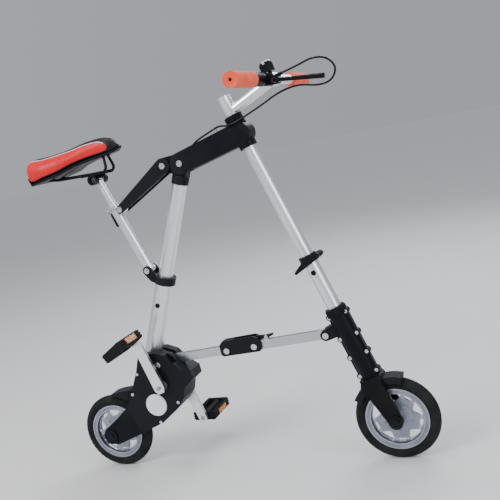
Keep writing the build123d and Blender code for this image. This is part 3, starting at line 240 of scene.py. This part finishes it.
grip_foam = principled("grip_foam", (0.86, 0.100, 0.045), 0.0, 0.86, sheen=0.1, specular=0.15)
tint(grip_foam, 40.0, (0.78, 0.080, 0.036), (0.90, 0.120, 0.056))
foam_cells = node(grip_foam, "ShaderNodeTexVoronoi", Scale=900.0)
foam_place = grip_foam.node_tree.nodes.new("ShaderNodeTexCoord")
join(grip_foam, foam_place, "Object", foam_cells, "Vector")
grain(grip_foam, 0, 0.00025, source=foam_cells, edge=0.0012)

cable_jacket = principled("cable_jacket", (0.004, 0.004, 0.005), 0.0, 0.34, specular=0.2)
smudges(cable_jacket, 70.0, 0.26, 0.44)
grain(cable_jacket, 1600.0, 0.00004, edge=0)

amber_lens = principled("amber_lens", (0.85, 0.26, 0.02), 0.0, 0.12, coat=0.6)
amber_lens.node_tree.nodes["Principled BSDF"].inputs["Transmission Weight"].default_value = 0.35
# The emission is a painted glow: the reflector lens is no lamp and gives off no light of its own.
amber_lens.node_tree.nodes["Principled BSDF"].inputs["Emission Color"].default_value = (0.9, 0.25, 0.01, 1)
amber_lens.node_tree.nodes["Principled BSDF"].inputs["Emission Strength"].default_value = 0.04
grain(amber_lens, 900.0, 0.00008, edge=0)

guide_wire = principled("guide_wire", (0.36, 0.20, 0.10), 1.0, 0.34)
smudges(guide_wire, 90.0, 0.26, 0.46)
grain(guide_wire, 1200.0, 0.00004, edge=0)

piping_cord = principled("piping_cord", (0.72, 0.66, 0.62), 0.0, 0.6, sheen=0.2)
tint(piping_cord, 60.0, (0.62, 0.56, 0.52), (0.78, 0.72, 0.68))
grain(piping_cord, 1800.0, 0.0001, edge=0)

pale_strip = principled("pale_strip", (0.80, 0.82, 0.84), 0.0, 0.45)
smudges(pale_strip, 30.0, 0.38, 0.55)
grain(pale_strip, 900.0, 0.00003, edge=0)


def dress(material, *names):
    """Give CAD nodes a material through their objects' own slots."""
    for name in names:
        for slot in nodes[name].material_slots:
            slot.material = material


dress(
    black_moulding, "main_beam", "apex_cap", "seat_strut", "rear_collar", "centre_block",
    "crossbar_latch", "housing_right", "housing_left", "front_collar", "drive_case_right",
    "drive_case_left", "front_mudguard", "rear_button", "front_button", "saddle_base",
    "head_bushes",
)
dress(
    black_lacquer, "fork", "front_lever", "saddle_rails", "brake_lever", "brake_bracket", "bell",
    "seat_lever", "rear_axle", "front_axle",
)
dress(black_coarse, "right_pedal", "left_pedal")
dress(rear_tube_metal, "rear_upper_tube", "rear_lower_tube")
dress(front_tube_metal, "front_upper_tube", "front_lower_tube")
dress(seat_tube_metal, "seat_tube", "seat_post")
dress(bar_metal, "stem", "handlebar")
dress(crossbar_metal, "rear_crossbar", "front_crossbar")
dress(crank_metal, "right_crank", "left_crank")
dress(
    bolt_metal, "apex_bolt", "strut_bolts", "block_bolts", "housing_bolts", "rear_fasteners",
    "seat_clamp",
)
dress(
    steel_metal, "rear_bearings", "jackshaft", "rear_sprocket", "drive_chains", "crank_spindle",
    "pedal_axles",
)
dress(wheel_lacquer, "rear_wheel", "front_wheel")
dress(grip_foam, "grips")
dress(disc_plastic, "chain_cover_disc")


# ---------------------------------------------------------------- mesh helpers
def piece(name, mesh, material, smooth=True):
    """Object of the bicycle made from a mesh in the row frame."""
    for polygon in mesh.polygons:
        polygon.use_smooth = smooth
    mesh.materials.append(material)
    made = bpy.data.objects.new(name, mesh)
    bpy.context.collection.objects.link(made)
    return made


def mesh_of(name, vertices, faces):
    mesh = bpy.data.meshes.new(name)
    mesh.from_pydata([tuple(vertex) for vertex in vertices], [], faces)
    mesh.update()
    return mesh


def frame_at(origin, z_way, x_way):
    """Matrix of a local frame with its z and x directions."""
    z_axis = Vector(z_way).normalized()
    y_axis = z_axis.cross(Vector(x_way)).normalized()
    x_axis = y_axis.cross(z_axis)
    return Matrix.Translation(origin) @ Matrix((x_axis, y_axis, z_axis)).transposed().to_4x4()


def lathe(name, profile, place, segments, wobble=None):
    """Closed ring of revolution about the local z of a frame; the profile is (radius, height) points."""
    vertices = []
    for turn in range(segments):
        angle = 2 * pi * turn / segments
        for index, (radius, height) in enumerate(profile):
            reach = radius + (wobble(turn, index) if wobble else 0)
            vertices.append(place @ Vector((reach * cos(angle), reach * sin(angle), height)))
    count = len(profile)
    faces = []
    for turn in range(segments):
        here = turn * count
        there = (turn + 1) % segments * count
        for index in range(count):
            step = (index + 1) % count
            faces.append((here + index, here + step, there + step, there + index))
    return mesh_of(name, vertices, faces)


def tube_curve(name, points, radius, material):
    """Round wire along a NURBS line whose control points are given in the row frame."""
    data = bpy.data.curves.new(name, "CURVE")
    data.dimensions = "3D"
    data.bevel_depth = radius
    data.bevel_resolution = 6
    data.resolution_u = 24
    data.use_fill_caps = True
    spline = data.splines.new("NURBS")
    spline.points.add(len(points) - 1)
    for point, place in zip(spline.points, points):
        point.co = (*place, 1)
    spline.order_u = 3
    spline.use_endpoint_u = True
    data.materials.append(material)
    made = bpy.data.objects.new(name, data)
    bpy.context.collection.objects.link(made)
    return made


def soften(made, width, segments=3):
    bevel = made.modifiers.new("edges", "BEVEL")
    bevel.width = width
    bevel.segments = segments
    bevel.limit_method = "ANGLE"
    bevel.angle_limit = radians(40)
    return made


def slab(name, place, outline, thickness, material, width=0.0006):
    """Plate with a polygon outline in the local xy of a frame, with softened edges."""
    count = len(outline)
    vertices = [place @ Vector((x, y, 0)) for x, y in outline]
    vertices += [place @ Vector((x, y, thickness)) for x, y in outline]
    faces = [tuple(reversed(range(count))), tuple(range(count, 2 * count))]
    for index in range(count):
        step = (index + 1) % count
        faces.append((index, step, count + step, count + index))
    made = piece(name, mesh_of(name, vertices, faces), material, smooth=False)
    return soften(made, width)


def stadium(length, width, steps=10):
    """Rounded-end outline with its length along x."""
    half = length / 2 - width / 2
    points = []
    for index in range(steps + 1):
        angle = -pi / 2 + pi * index / steps
        points.append((half + width / 2 * cos(angle), width / 2 * sin(angle)))
    for index in range(steps + 1):
        angle = pi / 2 + pi * index / steps
        points.append((-half + width / 2 * cos(angle), width / 2 * sin(angle)))
    return points


# ---------------------------------------------------------------- brake cable
cable_points = [
    (0.2825, -0.0640, 0.9265),
    (0.3150, -0.0640, 0.9330),
    (0.3490, -0.0630, 0.9430),
    (0.3810, -0.0610, 0.9380),
    (0.3990, -0.0590, 0.9130),
    (0.3830, -0.0560, 0.8870),
    (0.3490, -0.0510, 0.8840),
    (0.3070, -0.0430, 0.8960),
    (0.2570, -0.0370, 0.8890),
    (0.2090, -0.0320, 0.8690),
    (0.1670, -0.0300, 0.8540),
    (0.1460, -0.0290, 0.8465),
    (0.1170, -0.0270, 0.8400),
    (0.0929, -0.0190, 0.8444),
    (0.0680, -0.0100, 0.8367),
    (0.0401, -0.0060, 0.8277),
    (0.0144, -0.0040, 0.8172),
    (-0.0030, -0.0040, 0.8010),
]
CABLE_RADIUS = 0.00225
route = tube_curve("cable_route", cable_points, 0.0, cable_jacket)
graph = bpy.context.evaluated_depsgraph_get()
route_mesh = bpy.data.meshes.new_from_object(route.evaluated_get(graph))
route.data.bevel_depth = CABLE_RADIUS
graph = bpy.context.evaluated_depsgraph_get()
cable_mesh = bpy.data.meshes.new_from_object(route.evaluated_get(graph))
cable_mesh.materials.clear()
bpy.data.objects.remove(route)
cable = piece("brake_cable", cable_mesh, cable_jacket)
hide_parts("brake_cable_upper", "brake_cable_lower")
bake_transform(cable)

# ---------------------------------------------------------------- cable guide
beam_tree = BVHTree.FromObject(nodes["main_beam"], bpy.context.evaluated_depsgraph_get())
GUIDE_FOOT = Vector((0.0804, -0.0145, 0.0))
GUIDE_ACROSS = Vector((0.34, 0.94, 0.0))
guide_line = []
for across, rise in ((-0.0048, -0.0010), (-0.0050, 0.0060), (-0.0036, 0.0128), (0.0036, 0.0128),
                     (0.0050, 0.0060), (0.0048, -0.0010)):
    foot = GUIDE_FOOT + GUIDE_ACROSS * across
    top = beam_tree.ray_cast(Vector((foot.x, foot.y, 1.0)), Vector((0, 0, -1)))[0]
    guide_line.append(Vector((foot.x, foot.y, top.z + rise)))
guide = tube_curve("cable_guide", guide_line, 0.0006, guide_wire)
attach(guide, "frame")

# ---------------------------------------------------------------- tyres
TREAD_STEPS = 64
TYRE_SEGMENTS = 264
SECTION = 0.0155
CENTRE = 0.0845
SEAT = 0.0751
seat_angle = pi - asin(sqrt(SECTION**2 - (CENTRE - SEAT) ** 2) / SECTION)


def tyre_profile():
    """Section of the tyre from bead to bead, with three grooves and a rib on each side wall."""
    points = []
    for index in range(TREAD_STEPS + 1):
        angle = -seat_angle + 2 * seat_angle * index / TREAD_STEPS
        reach = SECTION
        across = abs(angle)
        if across < 0.05 or abs(across - 0.33) < 0.05:
            reach -= 0.0012
        if across > 1.25:
            reach += 0.0004 * exp(-(((across - 1.55) / 0.05) ** 2))
            reach -= 0.0006
        points.append((CENTRE + reach * cos(angle), reach * sin(angle)))
    return points


def tread_cut(turn, index):
    """Depth of the cross cuts in the shoulder blocks."""
    angle = abs(-seat_angle + 2 * seat_angle * index / TREAD_STEPS)
    if 0.42 < angle < 1.05 and turn % 6 < 2:
        return -0.0009
    if 0.08 < angle < 0.28 and (turn + 3) % 6 < 1:
        return -0.0008
    return 0.0


for end in ("rear", "front"):
    hub = centre_of(f"{end}_wheel")
    made = piece(
        f"{end}_tyre_tread",
        lathe(f"{end}_tyre_tread", tyre_profile(), frame_at(hub, (0, 1, 0), (1, 0, 0)), TYRE_SEGMENTS,
              wobble=tread_cut),
        tyre_rubber,
    )
    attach(made, f"{end}_wheel")
    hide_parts(f"{end}_tyre")

# ---------------------------------------------------------------- pedal reflectors
for side_name, sign, tilt in (("right", -1, radians(32)), ("left", 1, 0.0)):
    low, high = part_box(f"{side_name}_pedal")
    middle = (Vector(low) + Vector(high)) / 2
    for face_name, face in (("front", 1), ("back", -1)):
        way = Vector((cos(tilt) * face, 0, sin(tilt) * face))
        place = frame_at(middle + way * 0.0305, way, (0, 1, 0))
        mesh = bpy.data.meshes.new("lens")
        form = bmesh.new()
        bmesh.ops.create_grid(form, x_segments=18, y_segments=5, size=0.5)
        for vertex in form.verts:
            vertex.co = Vector((vertex.co.x * 0.046, vertex.co.y * 0.014, 0.0034))
        cells = bmesh.ops.poke(form, faces=form.faces[:], offset=0.0)
        for vertex in cells["verts"]:
            vertex.co.z += 0.0007
        rim = [edge for edge in form.edges if edge.is_boundary]
        skirt = bmesh.ops.extrude_edge_only(form, edges=rim)["geom"]
        for item in skirt:
            if isinstance(item, bmesh.types.BMVert):
                item.co.z = 0.0
        bmesh.ops.transform(form, matrix=place, verts=form.verts[:])
        bmesh.ops.recalc_face_normals(form, faces=form.faces[:])
        form.to_mesh(mesh)
        form.free()
        lens = piece(f"{side_name}_pedal_{face_name}_reflector", mesh, amber_lens, smooth=False)
        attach(lens, f"{side_name}_pedal")

# ---------------------------------------------------------------- bell
bell_frame = frame_at(Vector((0.243, -0.037, 0.933)), (-0.2149, 0, 0.9766), (1, 0, 0.22))
dome_profile = [(0.0001, 0.0256), (0.0001, 0.0292), (0.004, 0.0290), (0.008, 0.0283), (0.0115, 0.0268),
                (0.0128, 0.0252), (0.0128, 0.0240), (0.0100, 0.0240)]
dome = piece("bell_dome", lathe("bell_dome", dome_profile, bell_frame, 48), bolt_metal)
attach(dome, "column")
bell_strip = slab(
    "bell_strip",
    frame_at(bell_frame @ Vector((0.0, -0.0135, 0.010)), (0, -1, 0), (-0.2149, 0, 0.9766)),
    stadium(0.030, 0.005),
    0.0012,
    bolt_metal,
    width=0.0004,
)
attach(bell_strip, "column")

# ---------------------------------------------------------------- ribs round the collars
def ribbed_collar(name, station, radius, height, count, body):
    """Ring of rounded vertical ribs round the front leg."""
    foot = Vector((0.37254, 0.0, 0.09660)) + Vector(front_leg_way) * station
    place = frame_at(foot, front_leg_way, (0, 1, 0))
    profile = [
        (radius - 0.0025, 0.0),
        (radius - 0.0004, 0.0),
        (radius, 0.0006),
        (radius, height - 0.0006),
        (radius - 0.0004, height),
        (radius - 0.0025, height),
    ]

    def flute(turn, index):
        outer = 0 < index < 5
        return 0.0007 * cos(2 * pi * turn / 6) if outer else 0.0

    made = piece(name, lathe(name, profile, place, 6 * count, wobble=flute), black_moulding)
    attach(made, body)


ribbed_collar("housing_collar_ribs", 0.2805, 0.0252, 0.0165, 30, "fork_housing")

GUARD_REACH = 0.1063
GUARD_HALF = 0.0195
hub = centre_of("front_wheel")
for index in range(6):
    angle = radians(76.5 + 3.2 * index)
    ridge = Vector((cos(angle), 0, sin(angle)))
    low = hub + ridge * GUARD_REACH + Vector((0, -GUARD_HALF, 0))
    high = hub + ridge * GUARD_REACH + Vector((0, GUARD_HALF, 0))
    middle = (low + high) / 2 + ridge * 0.0004
    rib_line = [low, (low + middle) / 2, middle, (high + middle) / 2, high]
    rib = tube_curve(f"mudguard_rib_{index + 1}", rib_line, 0.0011, black_moulding)
    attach(rib, "fork")

# ---------------------------------------------------------------- marks on the tubes
strip_place = frame_at(
    Vector((-0.025, 0, 0.777)) - Vector(rear_leg_way) * 0.470 + Vector((-0.9212, 0, 0.3891)) * 0.0229,
    (-0.9212, 0, 0.3891),
    rear_leg_way,
)
strip = slab("rear_tube_strip", strip_place, stadium(0.15, 0.006), 0.0005, pale_strip, width=0.0002)
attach(strip, "rear_lower_leg")

# ---------------------------------------------------------------- saddle
# Sections of the saddle: x, lower edge, top and half width.
saddle_stations = [
    (-0.4405, 0.8120, 0.8550, 0.0500),
    (-0.4360, 0.8020, 0.8575, 0.0560),
    (-0.4280, 0.7965, 0.8580, 0.0605),
    (-0.3900, 0.8025, 0.8570, 0.0660),
    (-0.3470, 0.8105, 0.8600, 0.0600),
    (-0.3080, 0.8225, 0.8665, 0.0445),
    (-0.2730, 0.8295, 0.8750, 0.0325),
    (-0.2320, 0.8345, 0.8780, 0.0238),
    (-0.2050, 0.8385, 0.8720, 0.0185),
    (-0.1920, 0.8420, 0.8600, 0.0125),
    (-0.1865, 0.8455, 0.8535, 0.0080),
]


def along_saddle(x, column):
    """Value of a station column at x, by a smooth curve through the stations."""
    places = [station[0] for station in saddle_stations]
    x = min(max(x, places[0]), places[-1])
    index = max(i for i in range(len(places) - 1) if places[i] <= x)
    values = [station[column] for station in saddle_stations]
    run = places[index + 1] - places[index]
    share = (x - places[index]) / run

    def slope(i):
        if i == 0 or i == len(places) - 1:
            near = (0, 1) if i == 0 else (len(places) - 2, len(places) - 1)
            return (values[near[1]] - values[near[0]]) / (places[near[1]] - places[near[0]])
        return (values[i + 1] - values[i - 1]) / (places[i + 1] - places[i - 1])

    a, b = values[index], values[index + 1]
    m, n = slope(index) * run, slope(index + 1) * run
    s2, s3 = share * share, share**3
    return (2 * s3 - 3 * s2 + 1) * a + (s3 - 2 * s2 + share) * m + (3 * s2 - 2 * s3) * b + (s3 - s2) * n


def saddle_point(x, angle, shrink):
    """Point of the saddle's skin at x; the angle runs from the left edge over the top to the right."""
    low, top, half = (along_saddle(x, column) for column in (1, 2, 3))
    mid = low + 0.34 * (top - low)
    half -= shrink
    c, s = cos(angle), sin(angle)
    y = half * (abs(c) ** 0.72) * (1 if c >= 0 else -1)
    if s >= 0:
        z = mid + (top - shrink - mid) * s**0.66
        dip = 0.0045 * exp(-((y / 0.010) ** 2)) * min(1, max(0, (-0.25 - x) / 0.08))
        z -= dip
    else:
        z = mid - (mid - low - shrink * 0.3) * (-s) ** 0.30
        y *= 1 - 0.10 * (-s)
    return Vector((x, y, z))


def saddle_form(shrink):
    rings, sides = 84, 56
    vertices, faces = [], []
    first, last = saddle_stations[0][0] + shrink, saddle_stations[-1][0] - shrink
    for ring in range(rings):
        x = first + (last - first) * ring / (rings - 1)
        vertices += [saddle_point(x, 2 * pi * k / sides, shrink) for k in range(sides)]
    for ring in range(rings - 1):
        here = ring * sides
        there = here + sides
        for k in range(sides):
            step = (k + 1) % sides
            faces.append((here + k, here + step, there + step, there + k))
    faces.append(tuple(range(sides)))
    faces.append(tuple(reversed(range((rings - 1) * sides, rings * sides))))
    mesh = mesh_of("saddle_skin", vertices, faces)
    form = bmesh.new()
    form.from_mesh(mesh)
    bmesh.ops.recalc_face_normals(form, faces=form.faces[:])
    form.to_mesh(mesh)
    form.free()
    return mesh


def apply_modifiers(made):
    """Replace the object's mesh with its evaluated one."""
    graph = bpy.context.evaluated_depsgraph_get()
    mesh = bpy.data.meshes.new_from_object(made.evaluated_get(graph))
    made.modifiers.clear()
    made.data = mesh


def inflate(made, cap):
    """Puff the skin by cloth pressure, with its lower edge held, and cap each point's movement."""
    rest = [vertex.co.copy() for vertex in made.data.vertices]
    held = made.vertex_groups.new(name="held")
    for index, point in enumerate(rest):
        above = point.z - along_saddle(point.x, 1)
        held.add([index], 1.0 if above < 0.007 else max(0.0, 0.5 - above * 20), "REPLACE")
    cloth = made.modifiers.new("cloth", "CLOTH")
    cloth.settings.quality = 6
    cloth.settings.mass = 0.25
    cloth.settings.tension_stiffness = 25
    cloth.settings.compression_stiffness = 25
    cloth.settings.bending_stiffness = 1.5
    cloth.settings.use_pressure = True
    cloth.settings.uniform_pressure_force = 4.0
    cloth.settings.vertex_group_mass = "held"
    cloth.settings.effector_weights.gravity = 0.0
    cloth.point_cache.frame_start = 1
    cloth.point_cache.frame_end = 20
    scene = bpy.context.scene
    for step in range(1, 21):
        scene.frame_set(step)
    graph = bpy.context.evaluated_depsgraph_get()
    puffed = made.evaluated_get(graph).to_mesh()
    moved = []
    for start, vertex in zip(rest, puffed.vertices):
        shift = vertex.co - start
        if shift.length > cap:
            shift = shift.normalized() * cap
        moved.append(start + shift)
    made.evaluated_get(graph).to_mesh_clear()
    made.modifiers.remove(cloth)
    for vertex, place in zip(made.data.vertices, moved):
        vertex.co = place
    scene.frame_set(1)


SADDLE_TAIL = -0.45
SADDLE_RUN = 0.27
LOWER_BAND = 0.0075
saddle_skin = principled("saddle_skin", (0.62, 0.006, 0.010), 0.0, 0.42, coat=0.05, specular=0.25)


def dress_saddle():
    """Red sides, black centre panel and black lower edge, with a fine leather grain."""
    tree = saddle_skin.node_tree
    shader = tree.nodes["Principled BSDF"]
    place = tree.nodes.new("ShaderNodeTexCoord")
    split = tree.nodes.new("ShaderNodeSeparateXYZ")
    tree.links.new(place.outputs["Object"], split.inputs["Vector"])

    def curve(points, out_low, out_high):
        """Piecewise value over x, as a map range into a float curve."""
        span = tree.nodes.new("ShaderNodeMapRange")
        span.inputs["From Min"].default_value = SADDLE_TAIL
        span.inputs["From Max"].default_value = SADDLE_TAIL + SADDLE_RUN
        tree.links.new(split.outputs["X"], span.inputs["Value"])
        shape = tree.nodes.new("ShaderNodeFloatCurve")
        line = shape.mapping.curves[0]

        def placed(point):
            return (point[0] - SADDLE_TAIL) / SADDLE_RUN, (point[1] - out_low) / (out_high - out_low)

        line.points[0].location = placed(points[0])
        line.points[1].location = placed(points[-1])
        for point in points[1:-1]:
            line.points.new(*placed(point))
        shape.mapping.update()
        tree.links.new(span.outputs["Result"], shape.inputs["Value"])
        back = tree.nodes.new("ShaderNodeMapRange")
        back.inputs["To Min"].default_value = out_low
        back.inputs["To Max"].default_value = out_high
        tree.links.new(shape.outputs["Value"], back.inputs["Value"])
        return back.outputs["Result"]

    def math(operation, a, b=None):
        made = tree.nodes.new("ShaderNodeMath")
        made.operation = operation
        for socket, value in zip(made.inputs, (a, b)):
            if value is None:
                continue
            if isinstance(value, float):
                socket.default_value = value
            else:
                tree.links.new(value, socket)
        return made.outputs[0]

    half = curve(panel_half, 0.0, 0.05)
    low = curve([(station[0], station[1]) for station in saddle_stations], 0.79, 0.85)
    across = math("ABSOLUTE", split.outputs["Y"])
    in_panel = math("LESS_THAN", across, half)
    edge_height = math("SUBTRACT", split.outputs["Z"], low)
    in_edge = math("LESS_THAN", edge_height, LOWER_BAND)
    black = math("MAXIMUM", in_panel, in_edge)
    patches = tree.nodes.new("ShaderNodeTexNoise")
    patches.inputs["Scale"].default_value = 30.0
    patches.inputs["Detail"].default_value = 4.0
    tree.links.new(place.outputs["Object"], patches.inputs["Vector"])
    reds = tree.nodes.new("ShaderNodeValToRGB")
    reds.color_ramp.elements[0].color = (0.56, 0.005, 0.009, 1)
    reds.color_ramp.elements[1].color = (0.68, 0.008, 0.012, 1)
    tree.links.new(patches.outputs["Fac"], reds.inputs["Fac"])
    mix = tree.nodes.new("ShaderNodeMix")
    mix.data_type = "RGBA"
    mix.inputs[7].default_value = (0.006, 0.006, 0.008, 1)
    tree.links.new(black, mix.inputs[0])
    tree.links.new(reds.outputs["Color"], mix.inputs[6])
    tree.links.new(mix.outputs[2], shader.inputs["Base Color"])
    cells = tree.nodes.new("ShaderNodeTexVoronoi")
    cells.inputs["Scale"].default_value = 650.0
    tree.links.new(place.outputs["Object"], cells.inputs["Vector"])
    grain(saddle_skin, 0, 0.00012, source=cells, edge=0)


# Half the width of the black centre panel, by x.
panel_half = [(-0.445, 0.030), (-0.428, 0.036), (-0.390, 0.040), (-0.347, 0.037), (-0.308, 0.029),
              (-0.273, 0.0235), (-0.240, 0.0195), (-0.220, 0.0185), (-0.205, 0.0185), (-0.185, 0.020)]
dress_saddle()
smudges(saddle_skin, 22.0, 0.34, 0.50)

skin = piece("saddle_cover_skin", saddle_form(0.0015), saddle_skin)
remesh = skin.modifiers.new("voxels", "REMESH")
remesh.mode = "VOXEL"
remesh.voxel_size = 0.004
remesh.use_smooth_shade = True
apply_modifiers(skin)
inflate(skin, 0.003)
smooth = skin.modifiers.new("smooth", "CORRECTIVE_SMOOTH")
smooth.iterations = 6
smooth.use_only_smooth = True
skin.modifiers.new("fine", "SUBSURF").levels = 1
apply_modifiers(skin)
for polygon in skin.data.polygons:
    polygon.use_smooth = True
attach(skin, "saddle")
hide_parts("saddle_cover")

skin_tree = BVHTree.FromObject(skin, bpy.context.evaluated_depsgraph_get())


def panel_edge(x):
    for (x0, v0), (x1, v1) in zip(panel_half, panel_half[1:]):
        if x0 <= x <= x1:
            return v0 + (v1 - v0) * (x - x0) / (x1 - x0)
    return panel_half[-1][1]


for side_name, sign in (("left", 1), ("right", -1)):
    line = []
    for step in range(26):
        x = -0.436 + 0.226 * step / 25
        y = sign * panel_edge(x)
        hit = skin_tree.ray_cast(Vector((x, y, 1.0)), Vector((0, 0, -1)))[0]
        if hit:
            line.append(hit + Vector((0, 0, 0.0002)))
    seam = tube_curve(f"saddle_piping_{side_name}", line, 0.0011, piping_cord)
    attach(seam, "saddle")

# ---------------------------------------------------------------- floor and light
floor_material = principled("floor", (0.66, 0.66, 0.66), 0.0, 0.6)
smudges(floor_material, 3.0, 0.55, 0.68)
floor_corners = [(-30, -30, 0), (30, -30, 0), (30, 30, 0), (-30, 30, 0)]
floor = bpy.data.objects.new("floor", mesh_of("floor", floor_corners, [(0, 1, 2, 3)]))
floor.data.materials.append(floor_material)
bpy.context.collection.objects.link(floor)

world = bpy.data.worlds.new("studio")
world.use_nodes = True
bpy.context.scene.world = world
background = world.node_tree.nodes["Background"]
background.inputs["Color"].default_value = (0.90, 0.93, 1.0, 1)
heading = world.node_tree.nodes.new("ShaderNodeTexCoord")
parts = world.node_tree.nodes.new("ShaderNodeSeparateXYZ")
falloff = world.node_tree.nodes.new("ShaderNodeMapRange")
falloff.inputs["From Min"].default_value = -1.0
falloff.inputs["From Max"].default_value = 1.0
falloff.inputs["To Min"].default_value = 0.90
falloff.inputs["To Max"].default_value = 0.42
world.node_tree.links.new(heading.outputs["Generated"], parts.inputs["Vector"])
world.node_tree.links.new(parts.outputs["Y"], falloff.inputs["Value"])
world.node_tree.links.new(falloff.outputs["Result"], background.inputs["Strength"])


def softbox(name, place, aim, width, height, power, colour=(1, 1, 1)):
    data = bpy.data.lights.new(name, "AREA")
    data.shape = "RECTANGLE"
    data.size = width
    data.size_y = height
    data.energy = power
    data.color = colour
    made = bpy.data.objects.new(name, data)
    made.location = place
    made.rotation_euler = (Vector(aim) - Vector(place)).to_track_quat("-Z", "Y").to_euler()
    bpy.context.collection.objects.link(made)


softbox("key", (-1.6, -2.4, 2.6), (0, 0, 0.5), 1.6, 1.6, 95, (1.0, 0.98, 0.95))
softbox("fill", (2.6, -1.4, 1.6), (0, 0, 0.5), 1.2, 2.0, 34, (0.9, 0.95, 1.0))
softbox("back", (0.6, 2.6, 2.4), (0, 0, 0.6), 2.4, 1.0, 55, (0.95, 0.97, 1.0))
softbox("top", (0, 0, 3.2), (0, 0, 0), 2.0, 1.2, 30)
